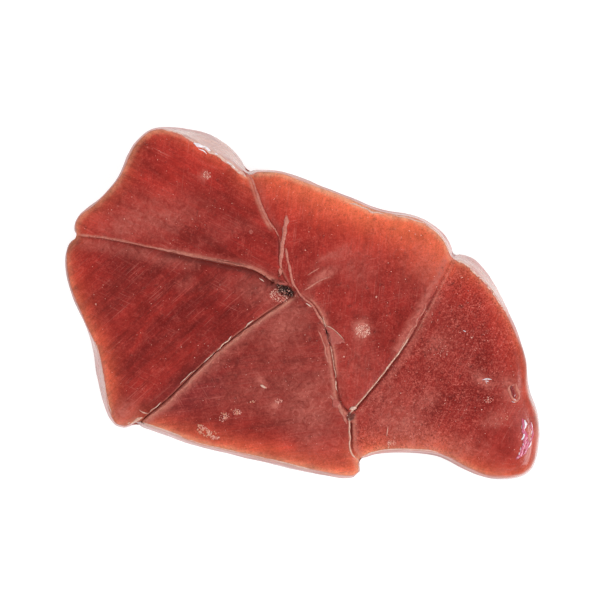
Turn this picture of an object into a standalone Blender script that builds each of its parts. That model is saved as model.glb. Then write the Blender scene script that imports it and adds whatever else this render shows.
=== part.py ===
"""A raw tuna steak, modelled as one solid.

The steak is a slab cut across a loin. Five blocks of muscle lie side by side in it and meet
at seams. The outer wall is drawn up once round the whole slab. Each block then gets its own
cut face, which rises from the floor of the grooves round it over a rounded shoulder, and its
own flat underside. Blocks share the spots along a seam, so the slab closes into one solid.
Two small pits are sunk where several seams meet.

Places on the cut face are in millimetres from the middle of the steak: +X along its length,
+Y across it. The finished object is in metres, +Z up, resting on its underside at Z = 0.
"""

import math

import bpy
import bmesh
from mathutils import Matrix, Vector

MM = 0.001

# The slab
NAME = "tuna_steak"
THICKNESS = 17.4
SPACING = 3.6

# The outer wall's foot is rounded in. Each step is a height and an inset, as shares of that
FOOT_ROUND = 1.3
FOOT_STEPS = ((0.25, 0.4), (1.0, 0.0))

# Above its foot the wall leans in. Each step is a share of its height and of its lean
WALL_STEPS = ((0.3, 0.25), (0.66, 0.65), (1.0, 1.0))

# Grooves along the seams, on the cut face and on the underside
GROOVE_DEPTH = 1.9
UNDERSIDE_GROOVE_DEPTH = 0.9
UNDERSIDE_GROOVE_HALF = 1.1

# The shoulder from the wall or the groove up to the cut face, in degrees round its curve
SHOULDER_ANGLES = (28.0, 58.0, 90.0)

# A shoulder takes up this share of the room in a sharp corner of a block
ROOM_USED = 0.5
WIDEST_ROOM = 20.0

# Rings between a block's shoulder and its middle: share of the way in, share of the crown
CROWN_RINGS = ((0.22, 0.6), (0.55, 0.95))

# Outer sides, clockwise round the slab. Each point is X, Y, how far the foot stands out past
# the cut face, and the radius of the shoulder there.
SIDES = {
    "upper left side": (
        (-71.8, 21.0, 0.6, 1.4),
        (-72.0, 24.8, 0.6, 1.4),
        (-69.5, 28.6, 0.6, 1.4),
        (-64.5, 32.3, 0.6, 1.4),
        (-58.5, 38.9, 0.6, 1.4),
        (-54.8, 47.2, 0.6, 1.4),
        (-51.3, 52.2, 0.6, 1.4),
        (-45.9, 55.4, 0.7, 1.4),
        (-36.8, 55.0, 2.2, 1.6),
        (-28.0, 53.0, 4.6, 1.8),
        (-21.2, 47.6, 3.2, 1.8),
        (-16.8, 41.9, 1.6, 1.5),
    ),
    "upper right side": (
        (-16.8, 41.9, 1.2, 1.5),
        (-12.6, 41.9, 0.8, 1.4),
        (-6.5, 41.5, 0.6, 1.4),
        (-0.9, 39.6, 0.8, 1.4),
        (13.5, 34.0, 1.0, 1.6),
        (24.6, 29.4, 0.9, 1.6),
        (34.9, 27.7, 1.0, 1.6),
        (41.0, 24.9, 1.2, 1.6),
        (45.5, 20.8, 1.2, 1.6),
        (47.9, 15.4, 1.4, 1.6),
    ),
    "right side": (
        (47.9, 15.4, 1.4, 1.6),
        (53.8, 14.2, 3.0, 1.8),
        (59.6, 7.6, 2.4, 1.8),
        (63.5, 0.2, 1.0, 2.0),
        (68.0, -10.2, 0.6, 2.4),
        (70.6, -18.6, 0.5, 3.0),
        (71.4, -27.4, 0.5, 3.4),
        (74.0, -34.2, 0.5, 4.0),
        (74.8, -42.6, 0.5, 4.2),
        (73.0, -51.6, 0.5, 3.8),
        (67.6, -55.4, 0.6, 3.0),
        (58.0, -55.3, 0.9, 2.2),
        (50.6, -52.6, 1.1, 1.8),
        (43.1, -48.7, 1.2, 1.6),
        (33.0, -47.5, 1.2, 1.6),
        (23.6, -47.9, 1.0, 1.6),
        (18.2, -49.6, 0.6, 1.4),
    ),
    "lower side": (
        (18.2, -49.6, 0.4, 1.4),
        (18.2, -53.6, 0.5, 1.4),
        (15.6, -55.5, 0.8, 1.4),
        (8.4, -55.0, 1.2, 1.5),
        (-11.5, -50.5, 1.3, 1.6),
        (-31.0, -46.1, 1.3, 1.6),
        (-42.2, -42.4, 1.6, 1.8),
        (-52.4, -38.9, 1.2, 1.6),
    ),
    "left side": (
        (-52.4, -38.9, 0.8, 1.5),
        (-56.2, -39.8, 0.8, 1.5),
        (-60.2, -38.0, 0.9, 1.4),
        (-63.0, -31.8, 1.6, 1.4),
        (-65.2, -23.0, 2.4, 1.4),
        (-66.2, -14.8, 1.6, 1.4),
        (-69.1, -6.0, 0.6, 1.4),
        (-73.2, 3.6, 0.6, 1.4),
        (-74.9, 12.2, 0.6, 1.4),
        (-74.4, 17.8, 0.6, 1.4),
        (-71.8, 21.0, 0.6, 1.4),
    ),
}

# Seams between the blocks, from one end to the other
HUB = (-2.8, 2.4)
FORK = (15.2, -35.2)
SEAMS = {
    "top seam": ((-16.8, 41.9), (-14.4, 35.0), (-11.6, 27.8), (-7.8, 20.6), (-7.1, 11.0), HUB),
    "left seam": (
        (-71.8, 21.0),
        (-60.2, 19.6),
        (-42.6, 15.9),
        (-24.1, 12.1),
        (-15.1, 10.1),
        (-9.4, 6.6),
        HUB,
    ),
    "lower seam": (
        HUB,
        (-7.8, -1.1),
        (-15.1, -6.1),
        (-27.3, -15.7),
        (-41.0, -29.1),
        (-48.8, -35.7),
        (-52.4, -38.9),
    ),
    "middle seam": (HUB, (3.4, -0.8), (8.0, -10.5), (10.3, -23.4), (11.7, -30.8), FORK),
    "right seam": ((47.9, 15.4), (42.4, 4.5), (33.8, -11.1), (26.0, -22.3), (18.9, -30.9), FORK),
    "short seam": (FORK, (15.3, -41.9), (15.7, -46.4), (18.2, -49.6)),
}

# Blocks of muscle. A chain goes once round the block: the route, whether it is followed
# backwards, and the width of the shoulder where the route is a seam. Rise is how far the
# block stands above the slab's thickness, lean how much it rises for each millimetre of X
# and Y, and crown how far its middle swells.
BLOCKS = {
    "upper left block": {
        "chain": (
            ("upper left side", False, None),
            ("top seam", False, 1.5),
            ("left seam", True, 1.3),
        ),
        "rise": 0.45,
        "lean": (0.004, -0.006),
        "crown": 0.25,
    },
    "upper right block": {
        "chain": (
            ("upper right side", False, None),
            ("right seam", False, 2.6),
            ("middle seam", True, 1.5),
            ("top seam", True, 1.6),
        ),
        "rise": 0.1,
        "lean": (-0.003, 0.003),
        "crown": 0.3,
    },
    "right block": {
        "chain": (
            ("right side", False, None),
            ("short seam", True, 1.5),
            ("right seam", True, 1.6),
        ),
        "rise": -0.1,
        "lean": (-0.012, 0.006),
        "crown": 0.3,
    },
    "lower block": {
        "chain": (
            ("lower side", False, None),
            ("lower seam", True, 2.8),
            ("middle seam", False, 1.4),
            ("short seam", False, 1.4),
        ),
        "rise": 0.25,
        "lean": (0.003, -0.004),
        "crown": 0.3,
    },
    "left block": {
        "chain": (
            ("left side", False, None),
            ("left seam", False, 1.6),
            ("lower seam", False, 1.3),
        ),
        "rise": -0.45,
        "lean": (0.006, 0.002),
        "crown": 0.2,
    },
}

# Pits: centre, length, width, depth and the turn of the long axis in degrees
PITS = {
    "hub pit": {"centre": (-5.3, 3.7), "size": (8.2, 3.6), "depth": 6.5, "turn": -21.0},
    "fork pit": {"centre": (15.1, -35.6), "size": (3.0, 3.6), "depth": 4.0, "turn": 0.0},
}
PIT_SIDES = 20
PIT_FLOOR = 0.35
PIT_CLEAR = 3.0

# Spots closer than this are one
WELD = 0.002

# The finish of raw flesh
FLESH_COLOUR = (0.29, 0.055, 0.045, 1.0)
FLESH_ROUGHNESS = 0.38


class Spot:
    """A place on a route. On an outer side it also has the wall's lean and its shoulder."""

    def __init__(self, point):
        self.place = Vector((point[0], point[1]))
        self.outer = len(point) > 2
        self.reach = point[2] if self.outer else 0.0
        self.shoulder = point[3] if self.outer else 0.0
        self.outward = Vector((0.0, 0.0))
        self.is_meeting = False
        self.floor = THICKNESS - GROOVE_DEPTH

    def at(self, inset, height):
        """The point this far in from the slab's side and this high."""
        place = self.place - self.outward * inset
        return Vector((place.x, place.y, height))


class Block:
    """One block of muscle: its spots in order, clockwise, and its cut face's height."""

    def __init__(self, shape, routes):
        self.shape = shape
        self.spots = []
        self.shoulders = []
        for name, backwards, seam_shoulder in shape["chain"]:
            route = routes[name][::-1] if backwards else routes[name]
            for spot in route[:-1]:
                self.spots.append(spot)
                self.shoulders.append(seam_shoulder or spot.shoulder)
        places = [spot.place for spot in self.spots]
        self.outward = outward_directions(places)
        self.room = [
            ROOM_USED * room_inside(place, outward, places)
            for place, outward in zip(places, self.outward)
        ]
        self.middle = sum(places, Vector((0.0, 0.0))) / len(places)
        for spot in self.spots:
            if spot.outer and not spot.is_meeting:
                spot.floor = self.top(spot.place) - spot.shoulder

    def top(self, place):
        """The height of the cut face, before its crown."""
        lean = Vector(self.shape["lean"]).dot(place - self.middle)
        return THICKNESS + self.shape["rise"] + lean

    def moved_in(self, start, widths, height_at):
        """A ring moved in from the start ring by each spot's width, or as far as it has room."""
        ring = []
        for index, point in enumerate(start):
            width = min(widths[index], self.room[index])
            place = point.xy - self.outward[index] * width
            ring.append(Vector((place.x, place.y, height_at(index, place))))
        return ring

    def underside_rings(self):
        """From the foot of the wall, or the groove's floor, down to the flat underside."""
        start = []
        widths = []
        for spot in self.spots:
            if spot.outer:
                start.append(foot_point(spot, *FOOT_STEPS[0]))
                widths.append(FOOT_ROUND * (1 - FOOT_STEPS[0][1]))
            else:
                start.append(spot.at(0.0, UNDERSIDE_GROOVE_DEPTH))
                widths.append(UNDERSIDE_GROOVE_HALF)
        return [start, self.moved_in(start, widths, lambda index, place: 0.0)]

    def cut_face_rings(self):
        """From the top of the wall, or the groove's floor, over the shoulder to the crown."""
        start = [spot.at(spot.reach, spot.floor) for spot in self.spots]
        rings = [start]
        for degrees in SHOULDER_ANGLES:
            angle = math.radians(degrees)
            widths = [shoulder * (1 - math.cos(angle)) for shoulder in self.shoulders]

            def height_at(index, place):
                floor = self.spots[index].floor
                return floor + (self.top(place) - floor) * math.sin(angle)

            rings.append(self.moved_in(start, widths, height_at))
        rim = rings[-1]
        for way_in, swell in CROWN_RINGS:
            ring = []
            for point in rim:
                place = point.xy.lerp(self.middle, way_in)
                height = self.top(place) + self.shape["crown"] * swell
                ring.append(Vector((place.x, place.y, height)))
            rings.append(ring)
        return rings

    def summit(self):
        """The middle of the cut face."""
        height = self.top(self.middle) + self.shape["crown"]
        return Vector((self.middle.x, self.middle.y, height))


def clear_scene():
    """Removes what Blender's start-up file brings."""
    for leftover in list(bpy.data.objects):
        bpy.data.objects.remove(leftover)


def new_collection(name):
    """Adds a collection to the scene and returns it."""
    collection = bpy.data.collections.new(name)
    bpy.context.scene.collection.children.link(collection)
    return collection


def spline_point(before, start, end, after, share):
    """A point between start and end on the smooth curve through the four points."""
    turn = end - before
    bend = before * 2 - start * 5 + end * 4 - after
    twist = start * 3 - before - end * 3 + after
    return start + (turn * share + bend * share**2 + twist * share**3) * 0.5


def smooth_route(points):
    """Even steps along the smooth curve through a route's points, ends included."""
    knots = [Vector(point) for point in points]
    knots = [knots[0] * 2 - knots[1], *knots, knots[-1] * 2 - knots[-2]]
    fine = []
    for index in range(1, len(knots) - 2):
        around = knots[index - 1 : index + 3]
        fine += [spline_point(*around, step / 24) for step in range(24)]
    fine.append(knots[-2])
    travelled = [0.0]
    for start, end in zip(fine, fine[1:]):
        step = Vector((end[0] - start[0], end[1] - start[1]))
        travelled.append(travelled[-1] + step.length)
    count = max(2, round(travelled[-1] / SPACING))
    route = []
    place = 0
    for step in range(count + 1):
        wanted = travelled[-1] * step / count
        while place < len(fine) - 2 and travelled[place + 1] < wanted:
            place += 1
        share = (wanted - travelled[place]) / (travelled[place + 1] - travelled[place])
        route.append(fine[place].lerp(fine[place + 1], min(share, 1.0)))
    return route


def outward_directions(places):
    """The outward direction at each place of a clockwise outline."""
    directions = []
    for index, place in enumerate(places):
        to_here = (place - places[index - 1]).normalized()
        to_next = (places[(index + 1) % len(places)] - place).normalized()
        along = (to_here + to_next).normalized()
        directions.append(Vector((-along.y, along.x)))
    return directions


def room_inside(place, outward, places):
    """The radius of the largest circle that touches the outline here from inside."""
    room = WIDEST_ROOM
    for other in places:
        away = other - place
        inward = -away.dot(outward)
        if inward > 0.01:
            room = min(room, away.length_squared / (2 * inward))
    return room


def trace_routes():
    """Every route as a list of spots. Routes that meet share the spot where they do."""
    meetings = {}
    routes = {}
    for name, points in {**SIDES, **SEAMS}.items():
        spots = [Spot(point) for point in smooth_route(points)]
        for end in (0, -1):
            spots[end] = meetings.setdefault(points[end][:2], spots[end])
            spots[end].is_meeting = True
        routes[name] = spots
    rim = [spot for name in SIDES for spot in routes[name][:-1]]
    for spot, outward in zip(rim, outward_directions([spot.place for spot in rim])):
        spot.outward = outward
    return routes, rim


def foot_point(spot, rise, inset):
    """A point on the rounded foot of the wall."""
    return spot.at(FOOT_ROUND * inset, FOOT_ROUND * rise)


def wall_point(spot, rise, lean):
    """A point on the wall above its foot."""
    return spot.at(spot.reach * lean, FOOT_ROUND + (spot.floor - FOOT_ROUND) * rise)


def wall_rings(rim):
    """Rings once round the slab, from the foot of its wall to the top."""
    rings = [[foot_point(spot, *step) for spot in rim] for step in FOOT_STEPS]
    return rings + [[wall_point(spot, *step) for spot in rim] for step in WALL_STEPS]


def draw_through(bm, rings):
    """Draws a face from the first ring through the others and returns it at the last."""
    face = bm.faces.new([bm.verts.new(point * MM) for point in rings[0]])
    for ring in rings[1:]:
        face = bmesh.ops.extrude_discrete_faces(bm, faces=[face])["faces"][0]
        for vert, point in zip(face.verts, ring):
            vert.co = point * MM
    return face


def slab_mesh():
    """The whole slab: its wall, and each block's underside and cut face, welded together."""
    routes, rim = trace_routes()
    blocks = [Block(shape, routes) for shape in BLOCKS.values()]
    mesh = bpy.data.meshes.new(NAME)
    bm = bmesh.new()
    wall_top = draw_through(bm, wall_rings(rim))
    bmesh.ops.delete(bm, geom=[wall_top], context="FACES_ONLY")
    for block in blocks:
        draw_through(bm, block.underside_rings())
        cut_face = draw_through(bm, block.cut_face_rings())
        middle = bmesh.ops.poke(bm, faces=[cut_face])["verts"][0]
        middle.co = block.summit() * MM
    bmesh.ops.remove_doubles(bm, verts=bm.verts[:], dist=WELD * MM)
    bmesh.ops.recalc_face_normals(bm, faces=bm.faces[:])
    bm.to_mesh(mesh)
    bm.free()
    return mesh


def pit_mesh(name, pit):
    """A tapering oval plug, sunk to the pit's depth and standing clear of the cut face."""
    height = pit["depth"] + PIT_CLEAR
    length, width = pit["size"]
    widen = 1 + (1 - PIT_FLOOR) * PIT_CLEAR / pit["depth"]
    mesh = bpy.data.meshes.new(name)
    bm = bmesh.new()
    bmesh.ops.create_cone(
        bm,
        cap_ends=True,
        segments=PIT_SIDES,
        radius1=PIT_FLOOR * length / 2 * MM,
        radius2=widen * length / 2 * MM,
        depth=height * MM,
    )
    bmesh.ops.scale(bm, vec=(1.0, width / length, 1.0), verts=bm.verts[:])
    turned = Matrix.Rotation(math.radians(pit["turn"]), 4, "Z")
    level = THICKNESS - pit["depth"] + height / 2
    placed = Matrix.Translation(Vector((*pit["centre"], level)) * MM)
    bm.transform(placed @ turned)
    bm.to_mesh(mesh)
    bm.free()
    return mesh


def flesh_material():
    """Raw red flesh, moist and without metal."""
    material = bpy.data.materials.new("raw_flesh")
    material.use_nodes = True
    shader = material.node_tree.nodes["Principled BSDF"]
    shader.inputs["Base Color"].default_value = FLESH_COLOUR
    shader.inputs["Roughness"].default_value = FLESH_ROUGHNESS
    shader.inputs["Metallic"].default_value = 0.0
    return material


def add_object(name, mesh, collection):
    """Links a mesh to the collection as an object."""
    thing = bpy.data.objects.new(name, mesh)
    collection.objects.link(thing)
    return thing


def sink_pits(steak, cutters):
    """Cuts the pits out of the slab."""
    for name, pit in PITS.items():
        plug = add_object(name, pit_mesh(name, pit), cutters)
        plug.hide_render = True
        plug.display_type = "WIRE"
        cut = steak.modifiers.new(name, "BOOLEAN")
        cut.operation = "DIFFERENCE"
        cut.solver = "EXACT"
        cut.object = plug


def build():
    """Makes the steak."""
    clear_scene()
    parts = new_collection(NAME)
    cutters = new_collection("cutters")
    steak = add_object(NAME, slab_mesh(), parts)
    steak.data.materials.append(flesh_material())
    sink_pits(steak, cutters)
    return steak


if __name__ == "__main__":
    build()
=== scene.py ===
"""The looks of a raw tuna steak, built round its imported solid.

The solid is copied, remeshed finely and reshaped: its seams become narrow creases with pale
lips, and its sides get folds and film. Thin membranes, tendons, frost and wet drops lie on it
as pieces of their own. Places are in millimetres from the middle of the steak: +X along its
length, +Y across it, +Z up. Angles are in degrees.
"""

import math

import bmesh
import bpy
import numpy as np
from bpy.props import FloatProperty, FloatVectorProperty, IntProperty, PointerProperty
from mathutils import Euler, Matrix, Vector
from mathutils.bvhtree import BVHTree


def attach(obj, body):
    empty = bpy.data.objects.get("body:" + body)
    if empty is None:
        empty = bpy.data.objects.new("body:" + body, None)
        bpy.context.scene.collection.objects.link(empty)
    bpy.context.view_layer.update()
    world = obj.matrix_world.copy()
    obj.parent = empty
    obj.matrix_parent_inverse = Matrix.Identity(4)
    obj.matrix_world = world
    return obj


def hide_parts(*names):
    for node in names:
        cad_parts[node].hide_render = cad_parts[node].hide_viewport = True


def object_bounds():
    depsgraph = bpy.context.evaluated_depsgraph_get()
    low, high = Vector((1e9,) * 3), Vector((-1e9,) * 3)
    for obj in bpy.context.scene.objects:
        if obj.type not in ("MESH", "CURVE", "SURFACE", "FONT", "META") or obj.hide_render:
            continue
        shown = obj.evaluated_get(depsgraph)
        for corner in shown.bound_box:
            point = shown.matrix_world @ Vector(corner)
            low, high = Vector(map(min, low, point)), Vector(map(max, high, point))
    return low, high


bl_info = {
    "name": "Raw Tuna Steak",
    "version": (1, 0, 0),
    "blender": (4, 5, 0),
    "location": "View3D > Sidebar > Tuna",
    "description": "Builds a raw tuna steak round its packed solid",
    "category": "Add Mesh",
}

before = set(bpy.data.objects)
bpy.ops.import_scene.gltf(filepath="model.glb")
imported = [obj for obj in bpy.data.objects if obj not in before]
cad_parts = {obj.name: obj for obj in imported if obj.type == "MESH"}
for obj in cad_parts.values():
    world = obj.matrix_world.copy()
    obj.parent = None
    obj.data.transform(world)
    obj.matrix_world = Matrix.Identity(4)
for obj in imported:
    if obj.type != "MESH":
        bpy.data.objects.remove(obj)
CAD_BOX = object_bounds()

NODE = "tuna_steak"
BODY = "root"
MM = 0.001
UP = np.array([0.0, 0.0, 1.0])
LOW = np.array(CAD_BOX[0]) / MM
HIGH = np.array(CAD_BOX[1]) / MM

# Where the seams meet, and the seams from one end to the other
HUB = (-2.8, 2.4)
FORK = (15.2, -35.2)
SEAM_ROUTES = {
    "top seam": ((-16.8, 41.9), (-14.4, 35.0), (-11.6, 27.8), (-7.8, 20.6), (-7.1, 11.0), HUB),
    "left seam": (
        (-71.8, 21.0),
        (-60.2, 19.6),
        (-42.6, 15.9),
        (-24.1, 12.1),
        (-15.1, 10.1),
        (-9.4, 6.6),
        HUB,
    ),
    "lower seam": (
        HUB,
        (-7.8, -1.1),
        (-15.1, -6.1),
        (-27.3, -15.7),
        (-41.0, -29.1),
        (-48.8, -35.7),
        (-52.4, -38.9),
    ),
    "middle seam": (HUB, (3.4, -0.8), (8.0, -10.5), (10.3, -23.4), (11.7, -30.8), FORK),
    "right seam": ((47.9, 15.4), (42.4, 4.5), (33.8, -11.1), (26.0, -22.3), (18.9, -30.9), FORK),
    "short seam": (FORK, (15.3, -41.9), (15.7, -46.4), (18.2, -49.6)),
}

# How a seam is cut: its depth, how much deeper the slit in its middle goes, for the side to
# the left of its way and for the side to its right how wide the shoulder is and how sharply
# it drops, then how much of that there is at its start and at its end
SEAM_CUTS = {
    "top seam": (0.4, 0.1, (1.4, 2.2), (1.1, 2.6), 0.5, 1.0),
    "left seam": (0.45, 0.15, (0.9, 2.6), (2.0, 1.8), 0.3, 1.3),
    "lower seam": (0.8, 0.25, (3.2, 1.9), (0.8, 2.8), 0.9, 1.0),
    "middle seam": (0.6, 0.18, (1.2, 2.4), (1.6, 2.2), 0.7, 1.2),
    "right seam": (0.6, 0.2, (1.2, 2.2), (3.0, 1.9), 0.0, 1.2),
    "short seam": (0.8, 0.25, (1.3, 2.2), (1.0, 2.6), 1.2, 0.55),
}
SLIT_WIDTH = 0.26

# Pale lips beside the seams: how far the lip lies to the left of the seam's way, half its
# width, its height, where it starts and ends as shares of the seam, and how pale it is
LIPS = {
    "top seam": ((-0.9, 0.5, 0.12, 0.0, 0.48, 0.55), (0.5, 0.3, 0.03, 0.55, 1.0, 0.3)),
    "left seam": ((0.45, 0.3, 0.08, 0.0, 0.55, 0.5), (0.55, 0.5, 0.14, 0.4, 0.93, 0.65)),
    "lower seam": (
        (0.85, 0.6, 0.06, 0.0, 1.0, 0.55),
        # The second lip of the lower seam paints thin glints on the left block's side of the crease
        (-0.4, 0.17, 0.06, 0.06, 0.95, 0.35),
    ),
    "middle seam": ((0.7, 0.35, 0.12, 0.1, 0.7, 0.6), (-0.9, 0.5, 0.08, 0.4, 1.0, 0.5)),
    "right seam": (
        (-0.55, 0.28, 0.12, 0.45, 1.0, 0.65),
        (0.8, 0.3, 0.04, 0.05, 0.5, 0.3),
    ),
    "short seam": ((-0.5, 0.3, 0.12, 0.0, 1.0, 0.7), (0.9, 0.6, 0.04, 0.0, 1.0, 0.3)),
}

# Hazy bands beside the seams: place, half width, start, end and strength
HAZE_BANDS = {
    "top seam": ((1.2, 1.0, 0.0, 0.5, 0.3),),
    "left seam": ((-2.2, 2.2, 0.0, 0.55, 0.5), (1.4, 1.0, 0.3, 0.9, 0.3)),
    "lower seam": ((1.6, 1.3, 0.0, 1.0, 0.85), (3.4, 1.6, 0.0, 0.6, 0.4)),
    "middle seam": ((1.3, 1.0, 0.0, 0.6, 0.6), (-1.4, 1.2, 0.3, 1.0, 0.7)),
    "right seam": ((-1.7, 1.5, 0.0, 0.6, 1.0), (1.6, 1.2, 0.2, 1.0, 0.6)),
    "short seam": ((1.4, 1.2, 0.0, 1.0, 0.8), (-1.5, 1.0, 0.0, 1.0, 0.4)),
}

# Shade beside the seams, in the same words: place, half width, start, end and strength
SHADES = {
    "top seam": ((0.1, 0.3, 0.1, 1.0, 0.3),),
    "left seam": ((-0.9, 1.1, 0.35, 1.0, 0.75), (-0.2, 0.25, 0.0, 0.4, 0.3)),
    "lower seam": ((0.0, 0.26, 0.0, 1.0, 0.7), (-1.6, 1.4, 0.3, 0.9, 0.3)),
    "middle seam": ((0.0, 0.24, 0.05, 1.0, 0.5),),
    "right seam": ((0.15, 0.22, 0.45, 1.0, 0.5),),
    "short seam": ((0.1, 0.26, 0.0, 0.7, 0.5),),
}

# Sharp corners of the outline
CORNERS = ((18.0, -54.8), (18.3, -49.7), (-59.0, -38.2))

# Pits where seams meet: centre, length, width and the turn of the long axis
PITS = {
    "hub pit": ((-5.3, 3.7), 8.2, 3.6, -21.0),
    "fork pit": ((15.1, -35.6), 3.0, 3.6, 0.0),
}

PIT_SHOWN = 2.6

# Blocks of muscle: the seams round each one, the far corners that close it, the finish of its
# flesh, how frosty it is, which way its fibres run and how banded it is
BLOCKS = {
    "upper left block": {
        "seams": (("top seam", False), ("left seam", True)),
        "corners": ((-120.0, 27.0), (-120.0, 110.0), (-40.0, 110.0)),
        "finish": "red",
        "frost": 0.25,
        "fibres": -28.0,
        "bands": 0.8,
    },
    "left block": {
        "seams": (("left seam", False), ("lower seam", False)),
        "corners": ((-130.0, -107.0), (-130.0, 28.2)),
        "finish": "dusky",
        "frost": 0.2,
        "fibres": 42.0,
        "bands": 1.0,
    },
    "lower block": {
        "seams": (("lower seam", True), ("middle seam", False), ("short seam", False)),
        "corners": ((57.0, -100.0), (-130.0, -120.0), (-130.0, -107.0)),
        "finish": "dusky",
        "frost": 0.25,
        "fibres": 8.0,
        "bands": 0.75,
    },
    "upper right block": {
        "seams": (("top seam", False), ("middle seam", False), ("right seam", True)),
        "corners": ((95.0, 110.0), (-40.0, 110.0)),
        "finish": "red",
        "frost": 0.3,
        "fibres": 84.0,
        "bands": 0.5,
    },
    "right block": {
        "seams": (("right seam", False), ("short seam", False)),
        "corners": ((57.0, -100.0), (130.0, -100.0), (130.0, 110.0), (95.0, 110.0)),
        "finish": "red",
        "frost": 0.9,
        "fibres": 62.0,
        "bands": 0.4,
    },
}

# Finishes of the flesh, in display values from 0 to 255
FINISHES = {
    "deep": (120, 23, 21),
    "dusky": (132, 36, 31),
    "red": (148, 40, 34),
    "bright": (178, 47, 38),
    "scarlet": (196, 61, 48),
    "pink": (205, 120, 112),
    "orange": (240, 116, 78),
    "peach": (246, 176, 138),
    "brown": (112, 44, 36),
    "plum": (120, 42, 44),
}

# Soft patches on the flesh: finish, centre X and Y, length, width, turn, strength
PATCHES = (
    ("haze", -50.0, 26.0, 30.0, 12.0, 8.0, 0.55),
    ("bright", -45.0, 37.0, 24.0, 14.0, 40.0, 0.75),
    ("bright", -31.0, 44.0, 34.0, 12.0, -38.0, 0.75),
    ("deep", -29.0, 19.5, 30.0, 9.0, -10.0, 0.5),
    ("deep", -21.0, 29.0, 12.0, 18.0, 20.0, 0.6),
    ("deep", -47.0, 44.0, 8.0, 8.0, 0.0, 0.2),
    ("bright", -66.0, 24.5, 12.0, 8.0, 20.0, 0.8),
    ("haze", -23.0, 22.0, 18.0, 6.0, 20.0, 0.2),
    ("bright", -69.0, 10.0, 14.0, 26.0, -10.0, 0.6),
    ("bright", -58.0, -7.0, 34.0, 7.0, 44.0, 0.35),
    ("deep", -46.0, -12.0, 34.0, 6.0, 44.0, 0.35),
    ("bright", -38.0, -16.0, 26.0, 4.0, 44.0, 0.3),
    ("haze", -14.0, 4.0, 20.0, 9.0, -10.0, 0.4),
    ("haze", -35.5, 5.5, 6.0, 4.0, 30.0, 0.35),
    ("orange", -62.0, -24.0, 26.0, 8.0, 105.0, 0.3),
    ("bright", -41.0, 3.2, 18.0, 1.8, 42.0, 0.3),
    ("bright", -36.0, 0.3, 22.0, 1.7, 21.0, 0.4),
    ("bright", -31.0, -4.5, 26.0, 1.9, 23.0, 0.35),
    ("bright", -17.5, 1.5, 12.0, 1.4, 4.0, 0.3),
    ("bright", -50.0, -8.0, 22.0, 2.4, 46.0, 0.5),
    ("bright", -48.0, -24.0, 20.0, 10.0, 50.0, 0.45),
    ("deep", -40.0, 3.0, 22.0, 9.0, 32.0, 0.5),
    ("deep", -33.0, -1.8, 22.0, 3.0, 22.0, 0.6),
    ("deep", -23.0, -4.0, 26.0, 12.0, 30.0, 0.75),
    ("deep", -44.0, -8.0, 20.0, 3.0, 42.0, 0.5),
    ("haze", -56.0, -35.0, 12.0, 8.0, 40.0, 0.6),
    ("haze", -6.0, -8.0, 18.0, 14.0, 40.0, 0.4),
    ("deep", -57.0, 12.0, 22.0, 10.0, -10.0, 0.6),
    ("plum", -36.0, -30.0, 28.0, 12.0, 38.0, 0.6),
    ("haze", -3.0, -4.0, 12.0, 7.0, 20.0, 0.2),
    ("haze", 4.0, -34.0, 18.0, 30.0, 10.0, 0.5),
    ("bright", 12.0, -28.0, 10.0, 26.0, 5.0, 0.45),
    ("haze", -15.0, -28.0, 26.0, 16.0, 0.0, 0.3),
    ("bright", -3.0, -47.0, 44.0, 10.0, -12.0, 0.6),
    ("bright", 10.0, 24.0, 44.0, 16.0, -18.0, 0.85),
    ("scarlet", -3.0, 34.0, 18.0, 10.0, -10.0, 0.6),
    ("orange", 41.0, 16.0, 17.0, 13.0, -40.0, 0.8),
    ("orange", 34.0, 23.0, 16.0, 8.0, -20.0, 0.5),
    ("bright", 38.0, 16.0, 22.0, 16.0, -40.0, 0.5),
    ("haze", 40.0, 10.0, 14.0, 14.0, -30.0, 0.4),
    ("haze", 17.0, 12.0, 16.0, 12.0, 0.0, 0.3),
    ("haze", 16.0, -18.0, 16.0, 22.0, -20.0, 0.2),
    ("bright", 50.0, 5.0, 10.0, 20.0, 30.0, 0.6),
    ("deep", 55.0, -14.0, 14.0, 16.0, 30.0, 0.45),
    ("deep", 50.0, -31.0, 22.0, 10.0, 20.0, 0.5),
    ("haze", 30.0, -37.0, 22.0, 16.0, -50.0, 0.6),
    ("haze", 44.0, -14.0, 16.0, 24.0, -40.0, 0.15),
    ("haze", 61.0, -36.0, 9.0, 5.0, 20.0, 0.6),
    ("haze", 57.5, -24.0, 9.0, 4.0, -20.0, 0.8),
    ("haze", 65.6, -27.6, 5.0, 8.0, 10.0, 0.8),
    ("haze", 40.0, -30.0, 8.0, 5.0, -30.0, 0.5),
    ("haze", 43.0, -13.0, 6.0, 4.0, 50.0, 0.6),
    ("deep", 59.0, -27.0, 14.0, 7.0, 30.0, 0.5),
    ("deep", 37.0, -24.0, 9.0, 6.0, 60.0, 0.35),
    ("bright", 62.0, -8.0, 8.0, 26.0, 20.0, 0.5),
    ("haze", 48.0, -46.0, 28.0, 8.0, -12.0, 0.5),
    ("haze", 18.9, -8.8, 5.2, 5.2, 0.0, 1.3),
    ("haze", -30.0, 40.0, 3.0, 3.0, 0.0, 0.9),
    ("haze", 5.0, 7.2, 9.0, 3.0, 35.0, 0.9),
    ("haze", 8.0, 13.5, 10.0, 2.4, 30.0, 0.5),
    ("haze", -13.5, -24.6, 3.0, 4.0, 0.0, 0.6),
    ("haze", -7.6, -31.2, 3.4, 2.6, 0.0, 0.6),
    # The pink patch on the right end partly paints the wet sheen there
    ("pink", 71.0, -43.0, 7.0, 22.0, 0.0, 0.5),
    ("bright", 60.0, -50.0, 18.0, 12.0, 0.0, 0.6),
)

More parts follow.
